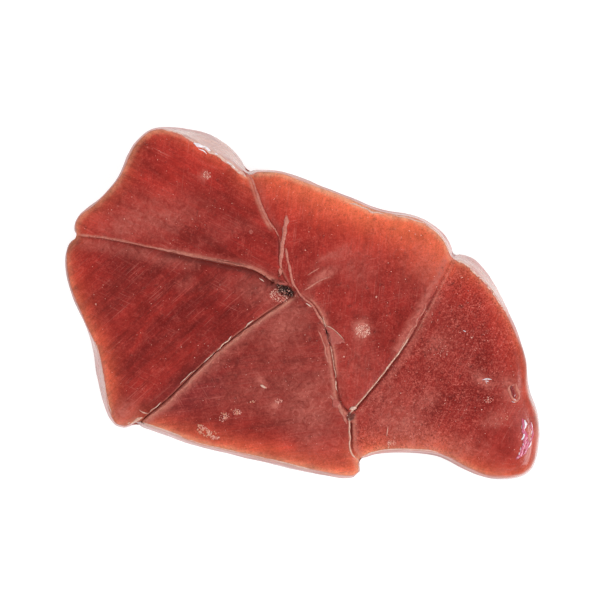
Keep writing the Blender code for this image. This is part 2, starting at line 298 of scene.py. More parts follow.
# Thin strands of tissue. Each has its route, as places or as a seam with how far to its left
# the strand lies and where it starts and ends, then its width, its height and how much it
# wanders. Strands of one piece share a finish.
STRANDS = {
    "seam_membranes": (
        (((-18.6, 41.5), (-16.3, 39.1), (-14.4, 35.0), (-12.8, 29.9), (-10.2, 25.3), (-7.6, 20.8)),
         0.8, 0.35, 0.25),
        (((-4.7, 27.2), (-5.3, 24.4), (-6.2, 20.0), (-6.6, 15.6), (-7.0, 11.4), (-7.2, 7.8)),
         1.3, 0.4, 0.3),
        (((-5.4, 17.0), (-4.9, 13.6), (-3.6, 8.6), (-1.9, 4.4), (0.8, 1.2), (3.2, -1.0), (5.2, -4.2),
          (6.6, -7.3)), 0.75, 0.4, 0.3),
        (("left seam", 0.4, 0.02, 0.4), 0.3, 0.16, 0.2),
        (("left seam", 0.5, 0.36, 0.66), 0.6, 0.28, 0.3),
        (("left seam", 0.55, 0.62, 0.93), 0.8, 0.4, 0.35),
        (((0.6, 3.9), (2.6, 5.2), (4.8, 6.7), (7.0, 7.7), (8.6, 8.0)), 0.55, 0.16, 0.3),
        (((1.6, 8.6), (3.0, 9.6), (5.2, 10.8)), 0.4, 0.12, 0.3),
        (((5.0, -8.6), (6.2, -12.0), (7.2, -15.0), (7.8, -19.0)), 0.4, 0.1, 0.2),
        (((66.2, -25.4), (65.0, -26.5), (64.8, -28.2), (65.6, -29.9), (66.8, -31.0), (67.9, -29.8),
          (67.6, -27.6), (66.6, -25.6)), 0.8, 0.22, 0.4),
        (((9.0, -29.0), (10.0, -30.6), (11.4, -32.2), (12.8, -34.6)), 1.0, 0.4, 0.4),
        (((10.6, -31.2), (12.6, -34.8), (14.0, -38.0)), 0.7, 0.3, 0.3),
        (("right seam", -0.7, 0.3, 0.6), 0.35, 0.12, 0.4),
        (("lower seam", 0.7, 0.06, 0.5), 0.4, 0.14, 0.35),
        (("lower seam", 0.8, 0.5, 0.97), 0.5, 0.18, 0.35),
    ),
    "bright_threads": (
        (((4.2, -2.2), (6.6, -6.6), (8.3, -12.0), (9.7, -18.0), (10.5, -23.6)), 0.42, 0.3, 0.2),
        (((10.6, -23.2), (10.4, -25.6), (10.8, -28.0)), 0.6, 0.2, 0.2),
        (("right seam", -0.5, 0.5, 0.78), 0.5, 0.28, 0.14),
        (("right seam", -0.45, 0.76, 1.0), 0.42, 0.3, 0.1),
        (("short seam", -0.5, 0.1, 0.9), 0.42, 0.3, 0.25),
        (((17.0, -48.4), (17.7, -50.6), (17.8, -53.6)), 0.45, 0.25, 0.1),
        (((7.2, -7.1), (9.4, -8.1), (11.6, -10.0), (13.2, -11.8)), 0.35, 0.7, 0.15),
        (((6.4, -4.4), (7.2, -7.2), (7.4, -9.4)), 0.4, 0.3, 0.15),
        (((-51.2, -33.6), (-49.9, -34.6), (-48.4, -34.9)), 0.35, 0.25, 0.1),
        (((-54.6, -38.6), (-52.6, -37.2), (-50.2, -36.2)), 0.9, 0.25, 0.2),
        (((26.9, -38.9), (26.6, -40.4), (26.4, -42.0)), 0.25, 0.2, 0.05),
    ),
    "crease_glints": (
        (("lower seam", -0.42, 0.23, 0.29), 0.34, 0.25, 0.3),
        (("lower seam", -0.42, 0.36, 0.46), 0.36, 0.28, 0.4),
        (("lower seam", -0.45, 0.475, 0.55), 0.26, 0.2, 0.3),
        (("lower seam", -0.45, 0.6, 0.7), 0.22, 0.2, 0.4),
        (("lower seam", -0.5, 0.83, 0.9), 0.24, 0.2, 0.4),
        (((-13.6, 7.6), (-12.8, 7.1), (-12.1, 6.5)), 0.45, 0.2, 0.05),
        (((1.1, -0.2), (2.0, -0.8), (2.9, -1.4)), 0.45, 0.2, 0.05),
    ),
    "rim_film": (
        (((-43.6, 54.6), (-39.0, 53.2), (-35.2, 51.2), (-31.8, 49.2)), 0.6, 0.3, 0.3),
        (((-32.4, 49.6), (-28.6, 47.0), (-24.6, 44.6), (-21.0, 42.0), (-18.0, 39.4)), 1.1, 0.5, 0.4),
        (((48.3, 13.3), (51.6, 11.4), (55.3, 8.6), (58.4, 5.4), (61.2, 2.2)), 0.9, 0.35, 0.3),
        (((60.6, 3.0), (62.8, -0.8), (64.8, -5.0)), 0.5, 0.25, 0.2),
        (((-66.0, -12.6), (-65.0, -20.0), (-63.2, -28.0), (-60.7, -35.0)), 0.3, 0.18, 0.2),
        (((-50.6, -38.0), (-46.6, -39.4), (-42.6, -40.9), (-38.0, -42.6)), 0.8, 0.25, 0.3),
        (((-36.0, -43.6), (-24.0, -46.2), (-12.0, -49.2)), 0.4, 0.16, 0.4),
        (((-11.0, -49.4), (-4.0, -51.2), (2.0, -52.6)), 0.6, 0.2, 0.3),
        (((14.9, 31.4), (20.0, 29.2), (25.6, 27.4)), 0.5, 0.15, 0.3),
        (((28.1, 27.6), (34.5, 26.0), (40.1, 24.0), (44.8, 19.6), (47.0, 15.6)), 0.5, 0.25, 0.2),
        (((18.6, -49.0), (24.0, -47.2), (33.0, -46.8), (42.4, -47.7)), 0.6, 0.25, 0.3),
    ),
    # The wet ridges are raised and glossy; their pale pink colours partly paint the sheen on them
    "wet_ridges_and_sheen": (
        (((71.9, -37.4), (72.2, -40.4), (71.6, -43.6), (70.2, -46.6), (69.2, -48.0)), 0.55, 0.3, 0.3),
        (((69.9, -36.6), (69.4, -39.0), (69.7, -41.4), (69.0, -43.6), (69.2, -45.6), (68.2, -47.4),
          (67.2, -49.2)), 1.25, 0.6, 0.9),
        (((70.2, -42.6), (70.4, -44.2), (69.8, -45.6), (69.9, -46.8)), 0.7, 0.35, 0.4),
    ),
    "wet_glints": (
        (((-34.0, 50.3), (-31.4, 48.8), (-28.6, 47.2)), 1.1, 0.9, 0.3),
        (((-32.6, 48.4), (-31.2, 47.6), (-30.0, 46.6)), 0.35, 0.6, 0.2),
        (((-28.4, 47.0), (-26.0, 45.7)), 0.4, 0.7, 0.2),
        (((-25.0, 45.1), (-22.4, 43.5), (-20.4, 41.6)), 0.4, 0.6, 0.3),
        (((69.8, -36.8), (69.9, -38.6), (69.4, -40.0)), 0.7, 1.0, 0.2),
        (((69.6, -40.6), (69.2, -42.2), (68.6, -43.0)), 0.8, 1.0, 0.2),
        (((69.2, -44.2), (69.4, -45.4)), 0.6, 1.0, 0.1),
        (((70.2, -37.4), (70.6, -38.4)), 0.3, 0.9, 0.1),
        (((68.9, -38.4), (68.7, -39.6)), 0.25, 0.9, 0.1),
        (((70.3, -43.4), (70.1, -44.4)), 0.3, 0.8, 0.1),
        (((68.6, -45.4), (68.3, -46.4)), 0.3, 0.9, 0.1),
        (((67.3, -48.6), (67.9, -48.9)), 0.3, 0.8, 0.1),
        (((65.6, -31.0), (66.6, -31.4)), 0.35, 0.6, 0.05),
        (((66.4, -28.6), (66.8, -29.0)), 0.3, 0.6, 0.05),
        (((68.0, -47.0), (67.8, -48.2)), 0.5, 0.9, 0.1),
        (((71.8, -37.6), (72.1, -39.6), (71.8, -41.4)), 0.35, 0.3, 0.1),
        (((71.7, -42.4), (71.4, -44.4), (70.6, -45.8)), 0.4, 0.3, 0.2),
        (((70.4, -46.2), (69.6, -47.2)), 0.35, 0.3, 0.1),
        (((66.3, -30.3), (67.0, -30.7)), 0.6, 0.9, 0.05),
        (((56.4, -24.3), (57.6, -24.0), (59.3, -24.1)), 0.45, 0.5, 0.1),
        (((57.2, -24.6), (58.4, -24.7)), 0.4, 0.5, 0.1),
        (((57.6, -25.1), (57.9, -25.3)), 0.35, 0.4, 0.05),
        (((50.4, -8.8), (51.2, -9.2)), 0.4, 0.3, 0.05),
    ),
}

# Small raised islands: outline corners and height. Islands of one piece share a finish.
ISLANDS = {
    "membrane_flaps": (
        (((6.9, -6.9), (9.6, -8.3), (13.4, -12.2), (10.8, -12.9), (8.4, -13.4), (7.4, -10.0)), 0.18),
        (((-10.2, 7.6), (-7.6, 7.3), (-5.0, 6.3), (-4.6, 5.5), (-6.8, 5.9), (-9.4, 6.9)), 0.45),
        (((9.4, -30.0), (10.8, -30.2), (11.6, -31.8), (10.6, -33.0), (9.4, -32.2)), 0.35),
        (((-16.9, 22.4), (-16.0, 22.9), (-15.4, 22.0), (-16.2, 21.4)), 0.12),
    ),
    "pale_flakes": (
        (((14.4, -33.5), (15.3, -32.7), (16.8, -32.5), (16.6, -33.3), (15.5, -33.9)), 0.5),
        (((-13.3, -25.9), (-12.5, -25.8), (-11.5, -26.6), (-11.9, -26.9), (-12.8, -26.5)), 0.25),
        (((-50.6, -37.6), (-46.8, -39.0), (-45.2, -40.0), (-47.6, -39.9), (-51.0, -38.6)), 0.25),
    ),
    "wet_drops": (
        (((65.2, -26.4), (66.0, -26.2), (66.6, -27.6), (67.0, -29.4), (66.4, -30.2), (65.6, -28.6)), 0.4),
    ),
}

# Ice flecks that stand out: X, Y and how wide they are
FLECKS = (
    (-12.4, -26.2, 0.7),
    (-11.4, -26.7, 0.5),
    (-55.9, 26.2, 0.45),
    (0.9, 16.4, 0.4),
    (23.2, 1.7, 0.55),
    (32.3, 7.3, 0.45),
    (27.8, 9.7, 0.4),
    (33.5, 22.5, 0.35),
    (35.4, 21.4, 0.35),
    (31.0, 20.3, 0.3),
    (37.2, 21.1, 0.35),
    (50.2, 7.9, 0.4),
    (42.1, 4.9, 0.4),
    (42.4, -5.5, 0.4),
    (51.7, -9.9, 0.5),
    (53.1, -11.0, 0.5),
    (14.0, -13.2, 0.45),
    (13.0, -17.0, 0.35),
    (-64.9, -0.5, 0.4),
    (-9.8, 37.5, 0.3),
    (66.6, -31.2, 0.55),
    (56.2, -33.6, 0.45),
)

# Patches of frost grains: centre X and Y, length, width, turn, number of grains
FROST_PATCHES = (
    (18.9, -8.8, 4.7, 4.7, 0.0, 270),
    (-30.0, 40.0, 2.5, 2.5, 0.0, 60),
    (-31.4, -39.2, 3.4, 1.2, -20.0, 60),
    (-28.8, -41.4, 3.8, 1.3, -55.0, 70),
    (-27.2, -42.4, 2.2, 1.0, 10.0, 40),
    (-24.6, -36.0, 3.6, 2.4, 40.0, 60),
    (-20.6, -34.4, 3.0, 1.8, 10.0, 50),
    (-7.5, -31.0, 2.4, 1.8, 0.0, 30),
    (44.5, -15.5, 4.5, 3.0, 60.0, 22),
    (58.5, -30.5, 3.0, 2.0, 20.0, 40),
    (28.0, -44.0, 3.0, 2.0, 0.0, 40),
    (-7.4, 2.0, 6.0, 4.0, -30.0, 170),
    (-5.8, 3.2, 6.0, 2.6, -21.0, 70),
)
# Crusts of frost: the route of each and how many crumbs lie along it
CRUSTS = (
    (((-33.2, -40.0), (-32.6, -38.9), (-31.6, -38.8), (-31.3, -39.8), (-32.2, -40.6)), 24),
    (((-32.0, -40.8), (-31.0, -41.6), (-29.6, -41.8)), 14),
    (((-30.4, -39.8), (-29.4, -40.6), (-28.6, -42.0), (-27.2, -42.9)), 22),
    (((-28.4, -40.8), (-27.6, -40.4), (-27.2, -41.2)), 7),
    (((-25.6, -35.8), (-24.8, -34.8), (-23.8, -35.4), (-24.4, -36.4)), 11),
    (((-22.6, -34.0), (-21.4, -33.6), (-20.4, -34.4), (-21.2, -35.0)), 13),
    (((-16.0, -31.4), (-15.2, -31.0)), 5),
    (((28.6, -43.6), (27.4, -44.4), (26.8, -45.2)), 9),
    (((63.4, -36.0), (64.2, -36.4)), 4),
)
SCATTERED = {"right block": 260, "upper right block": 110, "lower block": 100,
             "upper left block": 80, "left block": 90}

# Places round the rim: X, Y, how far in the painted warm glow reaches, how strong it is, how pale
# the painted bright edge is, and how much of the side there is covered by film. The glow and the
# bright edge are painted light, standing in for light shining through the thin flesh at the rim
RIM = (
    (-71.0, 24.0, 3.2, 0.35, 0.4, 0.1),
    (-58.0, 40.0, 3.6, 0.35, 0.4, 0.15),
    (-47.0, 55.0, 2.6, 0.3, 0.45, 0.45),
    (-33.0, 52.0, 3.5, 0.55, 0.75, 1.0),
    (-20.0, 44.0, 3.5, 0.55, 0.75, 1.0),
    (-8.0, 41.0, 6.5, 0.85, 0.8, 0.2),
    (8.0, 36.0, 7.5, 0.95, 0.8, 0.2),
    (25.0, 29.0, 7.0, 1.0, 0.8, 0.45),
    (40.0, 25.0, 8.5, 1.0, 0.9, 0.6),
    (46.5, 17.5, 8.0, 1.0, 0.8, 0.6),
    (51.0, 12.5, 3.0, 0.4, 0.5, 0.85),
    (61.0, 4.0, 3.0, 0.45, 0.4, 0.75),
    (67.0, -10.0, 3.5, 0.3, 0.1, 0.3),
    (71.0, -25.0, 3.5, 0.25, 0.0, 0.1),
    (74.0, -42.0, 3.5, 0.1, 0.0, 0.1),
    (68.0, -55.0, 4.0, 0.4, 0.1, 0.2),
    (50.0, -52.0, 4.5, 0.65, 0.4, 0.35),
    (30.0, -47.0, 4.5, 0.65, 0.4, 0.4),
    (16.0, -54.0, 5.0, 0.8, 0.5, 0.3),
    (-5.0, -52.0, 4.4, 0.72, 0.5, 0.4),
    (-30.0, -46.0, 4.2, 0.6, 0.5, 0.4),
    (-50.0, -39.0, 4.0, 0.6, 0.4, 0.5),
    (-60.0, -37.0, 3.5, 0.5, 0.4, 0.5),
    (-65.5, -22.0, 3.5, 0.5, 0.25, 0.75),
    (-68.0, -8.0, 3.5, 0.45, 0.2, 0.3),
    (-75.0, 10.0, 3.5, 0.45, 0.25, 0.1),
)
RIM_REACH = 9.0
SECTION_HEIGHT = 14.0


def linear(display):
    """Display values from 0 to 255 as linear light from 0 to 1."""
    share = np.asarray(display, float) / 255
    return np.where(share <= 0.04045, share / 12.92, ((share + 0.055) / 1.055) ** 2.4)


def colour(display):
    """Display values as the four numbers of a colour socket."""
    return (*linear(display), 1.0)


def rise(value, start, end):
    """Goes smoothly from 0 at start to 1 at end, which may lie below start."""
    share = np.clip((value - start) / (end - start), 0, 1)
    return share * share * (3 - 2 * share)


def bump_at(value, centre, half_width):
    """A soft hill of height 1 at the centre."""
    return np.exp(-(((value - centre) / half_width) ** 2))


def turned(places, degrees):
    """Places in the plane as seen along axes turned by an angle."""
    angle = math.radians(degrees)
    along = places[:, 0] * math.cos(angle) + places[:, 1] * math.sin(angle)
    across = places[:, 1] * math.cos(angle) - places[:, 0] * math.sin(angle)
    return along, across


def relief(places, size, seed, octaves=1):
    """Smooth noise from -1 to 1 at places in millimetres. Size is how wide its lumps are."""
    total = np.zeros(len(places))
    reach = 0.0
    for octave in range(octaves):
        lattice = np.random.default_rng(seed + octave).uniform(-1, 1, (32, 32, 32))
        scaled = places * (2**octave / np.asarray(size, float)) + 1000.0
        cell = np.floor(scaled).astype(int)
        part = scaled - cell
        part = part * part * (3 - 2 * part)
        value = np.zeros(len(places))
        for corner in np.ndindex(2, 2, 2):
            at = (cell + corner) % 32
            share = np.prod(np.where(corner, part, 1 - part), axis=1)
            value += share * lattice[at[:, 0], at[:, 1], at[:, 2]]
        total += value / 2**octave
        reach += 1 / 2**octave
    return total / reach


def smooth_route(points, step=1.0):
    """Even steps along the smooth curve through a route's points, ends included."""
    knots = np.array(points, float)
    knots = np.vstack([knots[0] * 2 - knots[1], knots, knots[-1] * 2 - knots[-2]])
    fine = []
    for before, start, end, after in zip(knots, knots[1:], knots[2:], knots[3:]):
        for share in np.arange(24) / 24:
            turn = end - before
            bend = before * 2 - start * 5 + end * 4 - after
            twist = start * 3 - before - end * 3 + after
            fine.append(start + (turn * share + bend * share**2 + twist * share**3) * 0.5)
    fine.append(knots[-2])
    fine = np.array(fine)
    lengths = np.linalg.norm(np.diff(fine[:, :2], axis=0), axis=1)
    travelled = np.concatenate([[0.0], np.cumsum(lengths)])
    count = max(2, round(travelled[-1] / step))
    wanted = np.linspace(0, travelled[-1], count + 1)
    return np.stack([np.interp(wanted, travelled, axis) for axis in fine.T], axis=1)


class Line:
    """A route in the plane, which can tell how far places are from it."""

    def __init__(self, points):
        self.points = np.asarray(points, float)[:, :2]
        self.steps = np.diff(self.points, axis=0)
        self.lengths = np.linalg.norm(self.steps, axis=1)
        self.length = self.lengths.sum()

    def nearest(self, places):
        """How far left of the line's way each place is, how far along, and the gap to it."""
        best = np.full(len(places), np.inf)
        gaps = np.zeros((len(places), 2))
        side = np.ones(len(places))
        along = np.zeros(len(places))
        before = 0.0
        for start, step, length in zip(self.points, self.steps, self.lengths):
            away = places - start
            share = np.clip(away @ step / length**2, 0, 1)
            gap = away - share[:, None] * step
            distance = np.hypot(gap[:, 0], gap[:, 1])
            closer = distance < best
            best = np.where(closer, distance, best)
            gaps = np.where(closer[:, None], gap, gaps)
            turn = step[0] * away[:, 1] - step[1] * away[:, 0]
            side = np.where(closer, np.where(turn < 0, -1.0, 1.0), side)
            along = np.where(closer, before + share * length, along)
            before += length
        return best * side, along, gaps


class Seam(Line):
    """A seam between two blocks, run on past the steak's side where it ends there."""

    run_on = 12.0

    def __init__(self, name):
        route = smooth_route(SEAM_ROUTES[name])
        self.inner = Line(route).length
        self.before = 0.0
        if SEAM_ROUTES[name][0] not in (HUB, FORK):
            ahead = route[0] - route[3]
            route = np.vstack([route[0] + ahead * (self.run_on / np.linalg.norm(ahead)), route])
            self.before = self.run_on
        if SEAM_ROUTES[name][-1] not in (HUB, FORK):
            ahead = route[-1] - route[-4]
            route = np.vstack([route, route[-1] + ahead * (self.run_on / np.linalg.norm(ahead))])
        super().__init__(route)
        self.name = name

    def share_along(self, along):
        """How far along the seam, from 0 to 1 between its ends on the cut face."""
        return (along - self.before) / self.inner


def is_inside(places, corners):
    """Which places lie inside a closed outline."""
    inside = np.zeros(len(places), bool)
    for (x0, y0), (x1, y1) in zip(corners, np.roll(corners, -1, axis=0)):
        if y0 == y1:
            continue
        crosses = (y0 > places[:, 1]) != (y1 > places[:, 1])
        meets = x0 + (places[:, 1] - y0) * (x1 - x0) / (y1 - y0)
        inside ^= crosses & (places[:, 0] < meets)
    return inside


def block_of(places, seams):
    """The number of the block that each place belongs to."""
    found = np.zeros(len(places), int)
    for number, block in enumerate(BLOCKS.values()):
        corners = []
        for name, backwards in block["seams"]:
            points = seams[name].points
            corners.extend(points[::-1] if backwards else points)
        corners.extend(block["corners"])
        found[is_inside(places, np.array(corners))] = number
    return found


def level_section(mesh, height):
    """The outline of a mesh cut level at a height, anticlockwise, as a closed line."""
    bm = bmesh.new()
    bm.from_mesh(mesh)
    bmesh.ops.remove_doubles(bm, verts=bm.verts[:], dist=0.001 * MM)
    bmesh.ops.bisect_plane(
        bm,
        geom=bm.verts[:] + bm.edges[:] + bm.faces[:],
        plane_co=(0.0, 0.0, height * MM),
        plane_no=(0.0, 0.0, 1.0),
        clear_inner=True,
        clear_outer=True,
    )
    left = set(bm.verts)
    outlines = []
    while left:
        vert = left.pop()
        loop = [vert.co.xy / MM]
        while True:
            onward = [edge.other_vert(vert) for edge in vert.link_edges]
            onward = [other for other in onward if other in left]
            if not onward:
                break
            vert = onward[0]
            left.remove(vert)
            loop.append(vert.co.xy / MM)
        outlines.append(np.array([tuple(place) for place in loop]))
    bm.free()
    outline = max(outlines, key=lambda loop: np.ptp(loop[:, 0]))
    x, y = outline.T
    if (x * np.roll(y, -1) - y * np.roll(x, -1)).sum() < 0:
        outline = outline[::-1]
    return Line(np.vstack([outline, outline[:1]]))


class Steak:
    """What the pieces need to know about the steak: its seams, outline and cut faces."""

    def __init__(self):
        self.seams = {name: Seam(name) for name in SEAM_ROUTES}
        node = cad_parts[NODE]
        self.outline = level_section(node.data, SECTION_HEIGHT)
        self.planes = self.fit_planes(node.data)
        self.surface = None

    def fit_planes(self, mesh):
        """The level of each block's cut face, as a slope along X, one along Y and a height."""
        places = places_of(mesh)
        flat = places[:, :2]
        gaps = np.min([abs(seam.nearest(flat)[0]) for seam in self.seams.values()], axis=0)
        inside = self.outline.nearest(flat)[0]
        chosen = (places[:, 2] > 16.5) & (gaps > 2.0) & (inside > 3.0)
        blocks = block_of(flat, self.seams)
        planes = []
        for number in range(len(BLOCKS)):
            here = places[chosen & (blocks == number)]
            rows = np.column_stack([here[:, :2], np.ones(len(here))])
            planes.append(np.linalg.lstsq(rows, here[:, 2], rcond=None)[0])
        return np.array(planes)

    def level(self, flat, blocks):
        """The height of the cut face of the block at each place."""
        planes = self.planes[blocks]
        return (planes[:, :2] * flat).sum(axis=1) + planes[:, 2]

    def nearest_seam(self, flat):
        """The distance to the nearest seam, and the gap to it."""
        distance = np.full(len(flat), np.inf)
        gaps = np.zeros((len(flat), 2))
        for seam in self.seams.values():
            signed, _, gap = seam.nearest(flat)
            closer = abs(signed) < distance
            distance = np.where(closer, abs(signed), distance)
            gaps = np.where(closer[:, None], gap, gaps)
        return distance, gaps

    def on_flesh(self, x, y):
        """The point on the flesh straight below a place, or nearest to it past the rim."""
        start = Vector((x, y, HIGH[2] + 5.0)) * MM
        spot, normal, _, _ = self.surface.ray_cast(start, Vector((0.0, 0.0, -1.0)))
        if spot is None or normal.z < 0.35:
            spot, normal, _, _ = self.surface.find_nearest(Vector((x, y, HIGH[2] - 1.5)) * MM)
        return spot, normal


def places_of(mesh):
    """A mesh's vertices in millimetres."""
    values = np.zeros(len(mesh.vertices) * 3, np.float32)
    mesh.vertices.foreach_get("co", values)
    return values.reshape(-1, 3).astype(float) / MM


def put_places(mesh, places):
    """Moves a mesh's vertices to places in millimetres."""
    mesh.vertices.foreach_set("co", (places * MM).astype(np.float32).ravel())
    mesh.update()


def facings_of(mesh):
    """The way that a mesh's surface faces at each vertex."""
    values = np.zeros(len(mesh.vertices) * 3, np.float32)
    mesh.vertex_normals.foreach_get("vector", values)
    return values.reshape(-1, 3).astype(float)


def edges_of(mesh):
    """The two ends of each edge."""
    values = np.zeros(len(mesh.edges) * 2, np.int32)
    mesh.edges.foreach_get("vertices", values)
    return values.reshape(-1, 2)


def evened(mesh, values, rounds, strength=0.5):
    """Values at the vertices, each drawn towards the mean of its neighbours."""
    first, second = edges_of(mesh).T
    count = len(mesh.vertices)
    shared = np.maximum(np.bincount(first, minlength=count) + np.bincount(second, minlength=count), 1)
    values = np.array(values, float)
    columns = values.reshape(count, -1)
    for _ in range(rounds):
        total = np.stack(
            [
                np.bincount(first, column[second], count) + np.bincount(second, column[first], count)
                for column in columns.T
            ],
            axis=1,
        )
        columns = columns + (total / shared[:, None] - columns) * strength
    return columns.reshape(values.shape)


def store(mesh, name, values):
    """Keeps a number, place or colour for each vertex, for the material to read."""
    width = 1 if values.ndim == 1 else values.shape[1]
    kind, field = {
        1: ("FLOAT", "value"),
        3: ("FLOAT_VECTOR", "vector"),
        4: ("FLOAT_COLOR", "color"),
    }[width]
    attribute = mesh.attributes.new(name, kind, "POINT")
    attribute.data.foreach_set(field, values.astype(np.float32).ravel())


def add_piece(name, mesh, material):
    """Adds a smooth piece that rides on the steak's body."""
    piece = bpy.data.objects.new(name, mesh)
    bpy.context.scene.collection.objects.link(piece)
    mesh.materials.clear()
    mesh.materials.append(material)
    mesh.polygons.foreach_set("use_smooth", np.ones(len(mesh.polygons), bool))
    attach(piece, BODY)
    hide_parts(NODE)
    return piece


class Finish:
    """A material under construction. Each call adds a node and returns what comes out of it."""

    def __init__(self, name):
        self.material = bpy.data.materials.new(name)
        self.material.use_nodes = True
        self.nodes = self.material.node_tree.nodes
        self.links = self.material.node_tree.links
        self.shader = self.nodes["Principled BSDF"]

    def add(self, kind, **settings):
        """Adds a node and sets what is named."""
        node = self.nodes.new(kind)
        for key, value in settings.items():
            setattr(node, key, value)
        return node

    def feed(self, socket, value):
        """Links a socket to another one, or sets it to a plain value."""
        if isinstance(value, bpy.types.NodeSocket):
            self.links.new(value, socket)
        else:
            socket.default_value = value

    def put(self, **inputs):
        """Feeds the shader. An underscore stands for a space in an input's name."""
        for name, value in inputs.items():
            self.feed(self.shader.inputs[name.replace("_", " ")], value)

    def attribute(self, name, kind="Fac"):
        """What is kept at the vertices under a name."""
        node = self.add("ShaderNodeAttribute", attribute_name=name)
        return node.outputs[kind]

    def place(self):
        """The place on the piece, in millimetres."""
        texture = self.add("ShaderNodeTexCoord")
        return self.scaled(texture.outputs["Object"], (1 / MM,) * 3)

    def scaled(self, vector, factors):
        """A vector stretched along each axis."""
        node = self.add("ShaderNodeVectorMath", operation="MULTIPLY")
        self.feed(node.inputs[0], vector)
        node.inputs[1].default_value = factors
        return node.outputs[0]

    def turned(self, vector, degrees):
        """A vector turned about the upright axis."""
        node = self.add("ShaderNodeVectorRotate", rotation_type="Z_AXIS")
        self.feed(node.inputs["Vector"], vector)
        node.inputs["Angle"].default_value = math.radians(degrees)
        return node.outputs[0]

    def noise(self, place, size, detail=2.0, rough=0.5, warp=0.0):
        """Noise with lumps of a size in millimetres, from 0 to 1."""
        node = self.add("ShaderNodeTexNoise")
        self.feed(node.inputs["Vector"], place)
        node.inputs["Scale"].default_value = 1 / size
        node.inputs["Detail"].default_value = detail
        node.inputs["Roughness"].default_value = rough
        node.inputs["Distortion"].default_value = warp
        return node.outputs["Fac"]

    def cells(self, place, size, spread=1.0):
        """The distance to the nearest of scattered points, as a share of their spacing."""
        node = self.add("ShaderNodeTexVoronoi")
        self.feed(node.inputs["Vector"], place)
        node.inputs["Scale"].default_value = 1 / size
        node.inputs["Randomness"].default_value = spread
        return node.outputs["Distance"]

    def span(self, value, low, high, to_low=0.0, to_high=1.0):
        """A value stretched from one span to another, and held at its ends."""
        node = self.add("ShaderNodeMapRange", clamp=True)
        self.feed(node.inputs["Value"], value)
        node.inputs["From Min"].default_value = low
        node.inputs["From Max"].default_value = high
        node.inputs["To Min"].default_value = to_low
        node.inputs["To Max"].default_value = to_high
        return node.outputs["Result"]

    def math(self, operation, first, second):
        """Two values put together."""
        node = self.add("ShaderNodeMath", operation=operation)
        self.feed(node.inputs[0], first)
        self.feed(node.inputs[1], second)
        return node.outputs[0]

    def product(self, *values):
        """Several values multiplied."""
        total = values[0]
        for value in values[1:]:
            total = self.math("MULTIPLY", total, value)
        return total

    def mix(self, share, first, second, blend="MIX"):
        """Two colours mixed by a share."""
        node = self.add("ShaderNodeMix", data_type="RGBA", blend_type=blend)
        node.clamp_factor = True
        self.feed(node.inputs[0], share)
        self.feed(node.inputs[6], first)
        self.feed(node.inputs[7], second)
        return node.outputs[2]

    def lit(self, tint, factor):
        """A colour made lighter or darker by a factor."""
        node = self.add("ShaderNodeVectorMath", operation="SCALE")
        self.feed(node.inputs[0], tint)
        self.feed(node.inputs["Scale"], factor)
        return node.outputs[0]

    def bump(self, height, depth, strength=1.0):
        """Small relief, its depth in millimetres, joined to the shader."""
        node = self.add("ShaderNodeBump")
        node.inputs["Strength"].default_value = strength
        node.inputs["Distance"].default_value = depth * MM
        self.feed(node.inputs["Height"], height)
        self.links.new(node.outputs["Normal"], self.shader.inputs["Normal"])


# ----------------------------------------------------------------------------------------
# The flesh
# ----------------------------------------------------------------------------------------


class FleshSettings(bpy.types.PropertyGroup):
    """Sizes and colours of the flesh."""

    voxel: FloatProperty(
        name="Mesh size",
        description="Side of the squares that the steak is remeshed with",
        default=1.0 * MM,
        min=0.6 * MM,
        unit="LENGTH",
    )
    waviness: FloatProperty(
        name="Waviness",
        description="How far the cut face swells and sinks",
        default=0.11 * MM,
        unit="LENGTH",
    )
    pale: FloatVectorProperty(
        name="Seam tissue",
        description="Colour of the tissue along the seams",
        subtype="COLOR",
        default=tuple(linear((208, 138, 118))),
    )
    film: FloatVectorProperty(
        name="Film",
        description="Colour of the film on the steak's sides",
        subtype="COLOR",
        default=tuple(linear((220, 178, 170))),
    )
    # Painted shade: the dark colour in and beside the seams stands in for the shadow down in them
    shade: FloatVectorProperty(
        name="Crease",
        description="Colour of the flesh down in a seam",
        subtype="COLOR",
        default=tuple(linear((92, 28, 23))),
    )


def filled_copy(steak):
    """A copy of the solid with the grooves on its cut face filled level."""
    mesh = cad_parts[NODE].data.copy()
    bm = bmesh.new()
    bm.from_mesh(mesh)
    bmesh.ops.remove_doubles(bm, verts=bm.verts[:], dist=0.001 * MM)
    bm.to_mesh(mesh)
    bm.free()
    places = places_of(mesh)
    flat = places[:, :2]
    distance, _ = steak.nearest_seam(flat)
    inside = steak.outline.nearest(flat)[0]
    groove = (places[:, 2] > 15.3) & (distance < 3.0) & (inside > 3.0)
    level = steak.level(flat, block_of(flat, steak.seams))
    places[groove, 2] = level[groove]
    put_places(mesh, places)
    return mesh


def remeshed(mesh, voxel):
    """A mesh laid out afresh in even squares."""
    body = bpy.data.objects.new("remesh", mesh)
    bpy.context.scene.collection.objects.link(body)
    modifier = body.modifiers.new("remesh", "REMESH")
    modifier.mode = "VOXEL"
    modifier.voxel_size = voxel
    graph = bpy.context.evaluated_depsgraph_get()
    fresh = bpy.data.meshes.new_from_object(body.evaluated_get(graph))
    bpy.data.objects.remove(body)
    return fresh


def refine(mesh, chosen):
    """Halves every edge with both ends chosen."""
    bm = bmesh.new()
    bm.from_mesh(mesh)
    bm.verts.ensure_lookup_table()
    edges = [edge for edge in bm.edges if chosen[edge.verts[0].index] and chosen[edge.verts[1].index]]
    bmesh.ops.subdivide_edges(bm, edges=edges, cuts=1, use_grid_fill=True)
    bm.to_mesh(mesh)
    bm.free()
    mesh.update()


def soften(mesh, rounds):
    """Evens out a mesh, less so near the steak's sharp corners."""
    places = places_of(mesh)
    away = np.min([np.hypot(*(places[:, :2] - corner).T) for corner in CORNERS], axis=0)
    free = rise(away, 1.5, 4.0)[:, None]
    put_places(mesh, places + (evened(mesh, places, rounds) - places) * free)


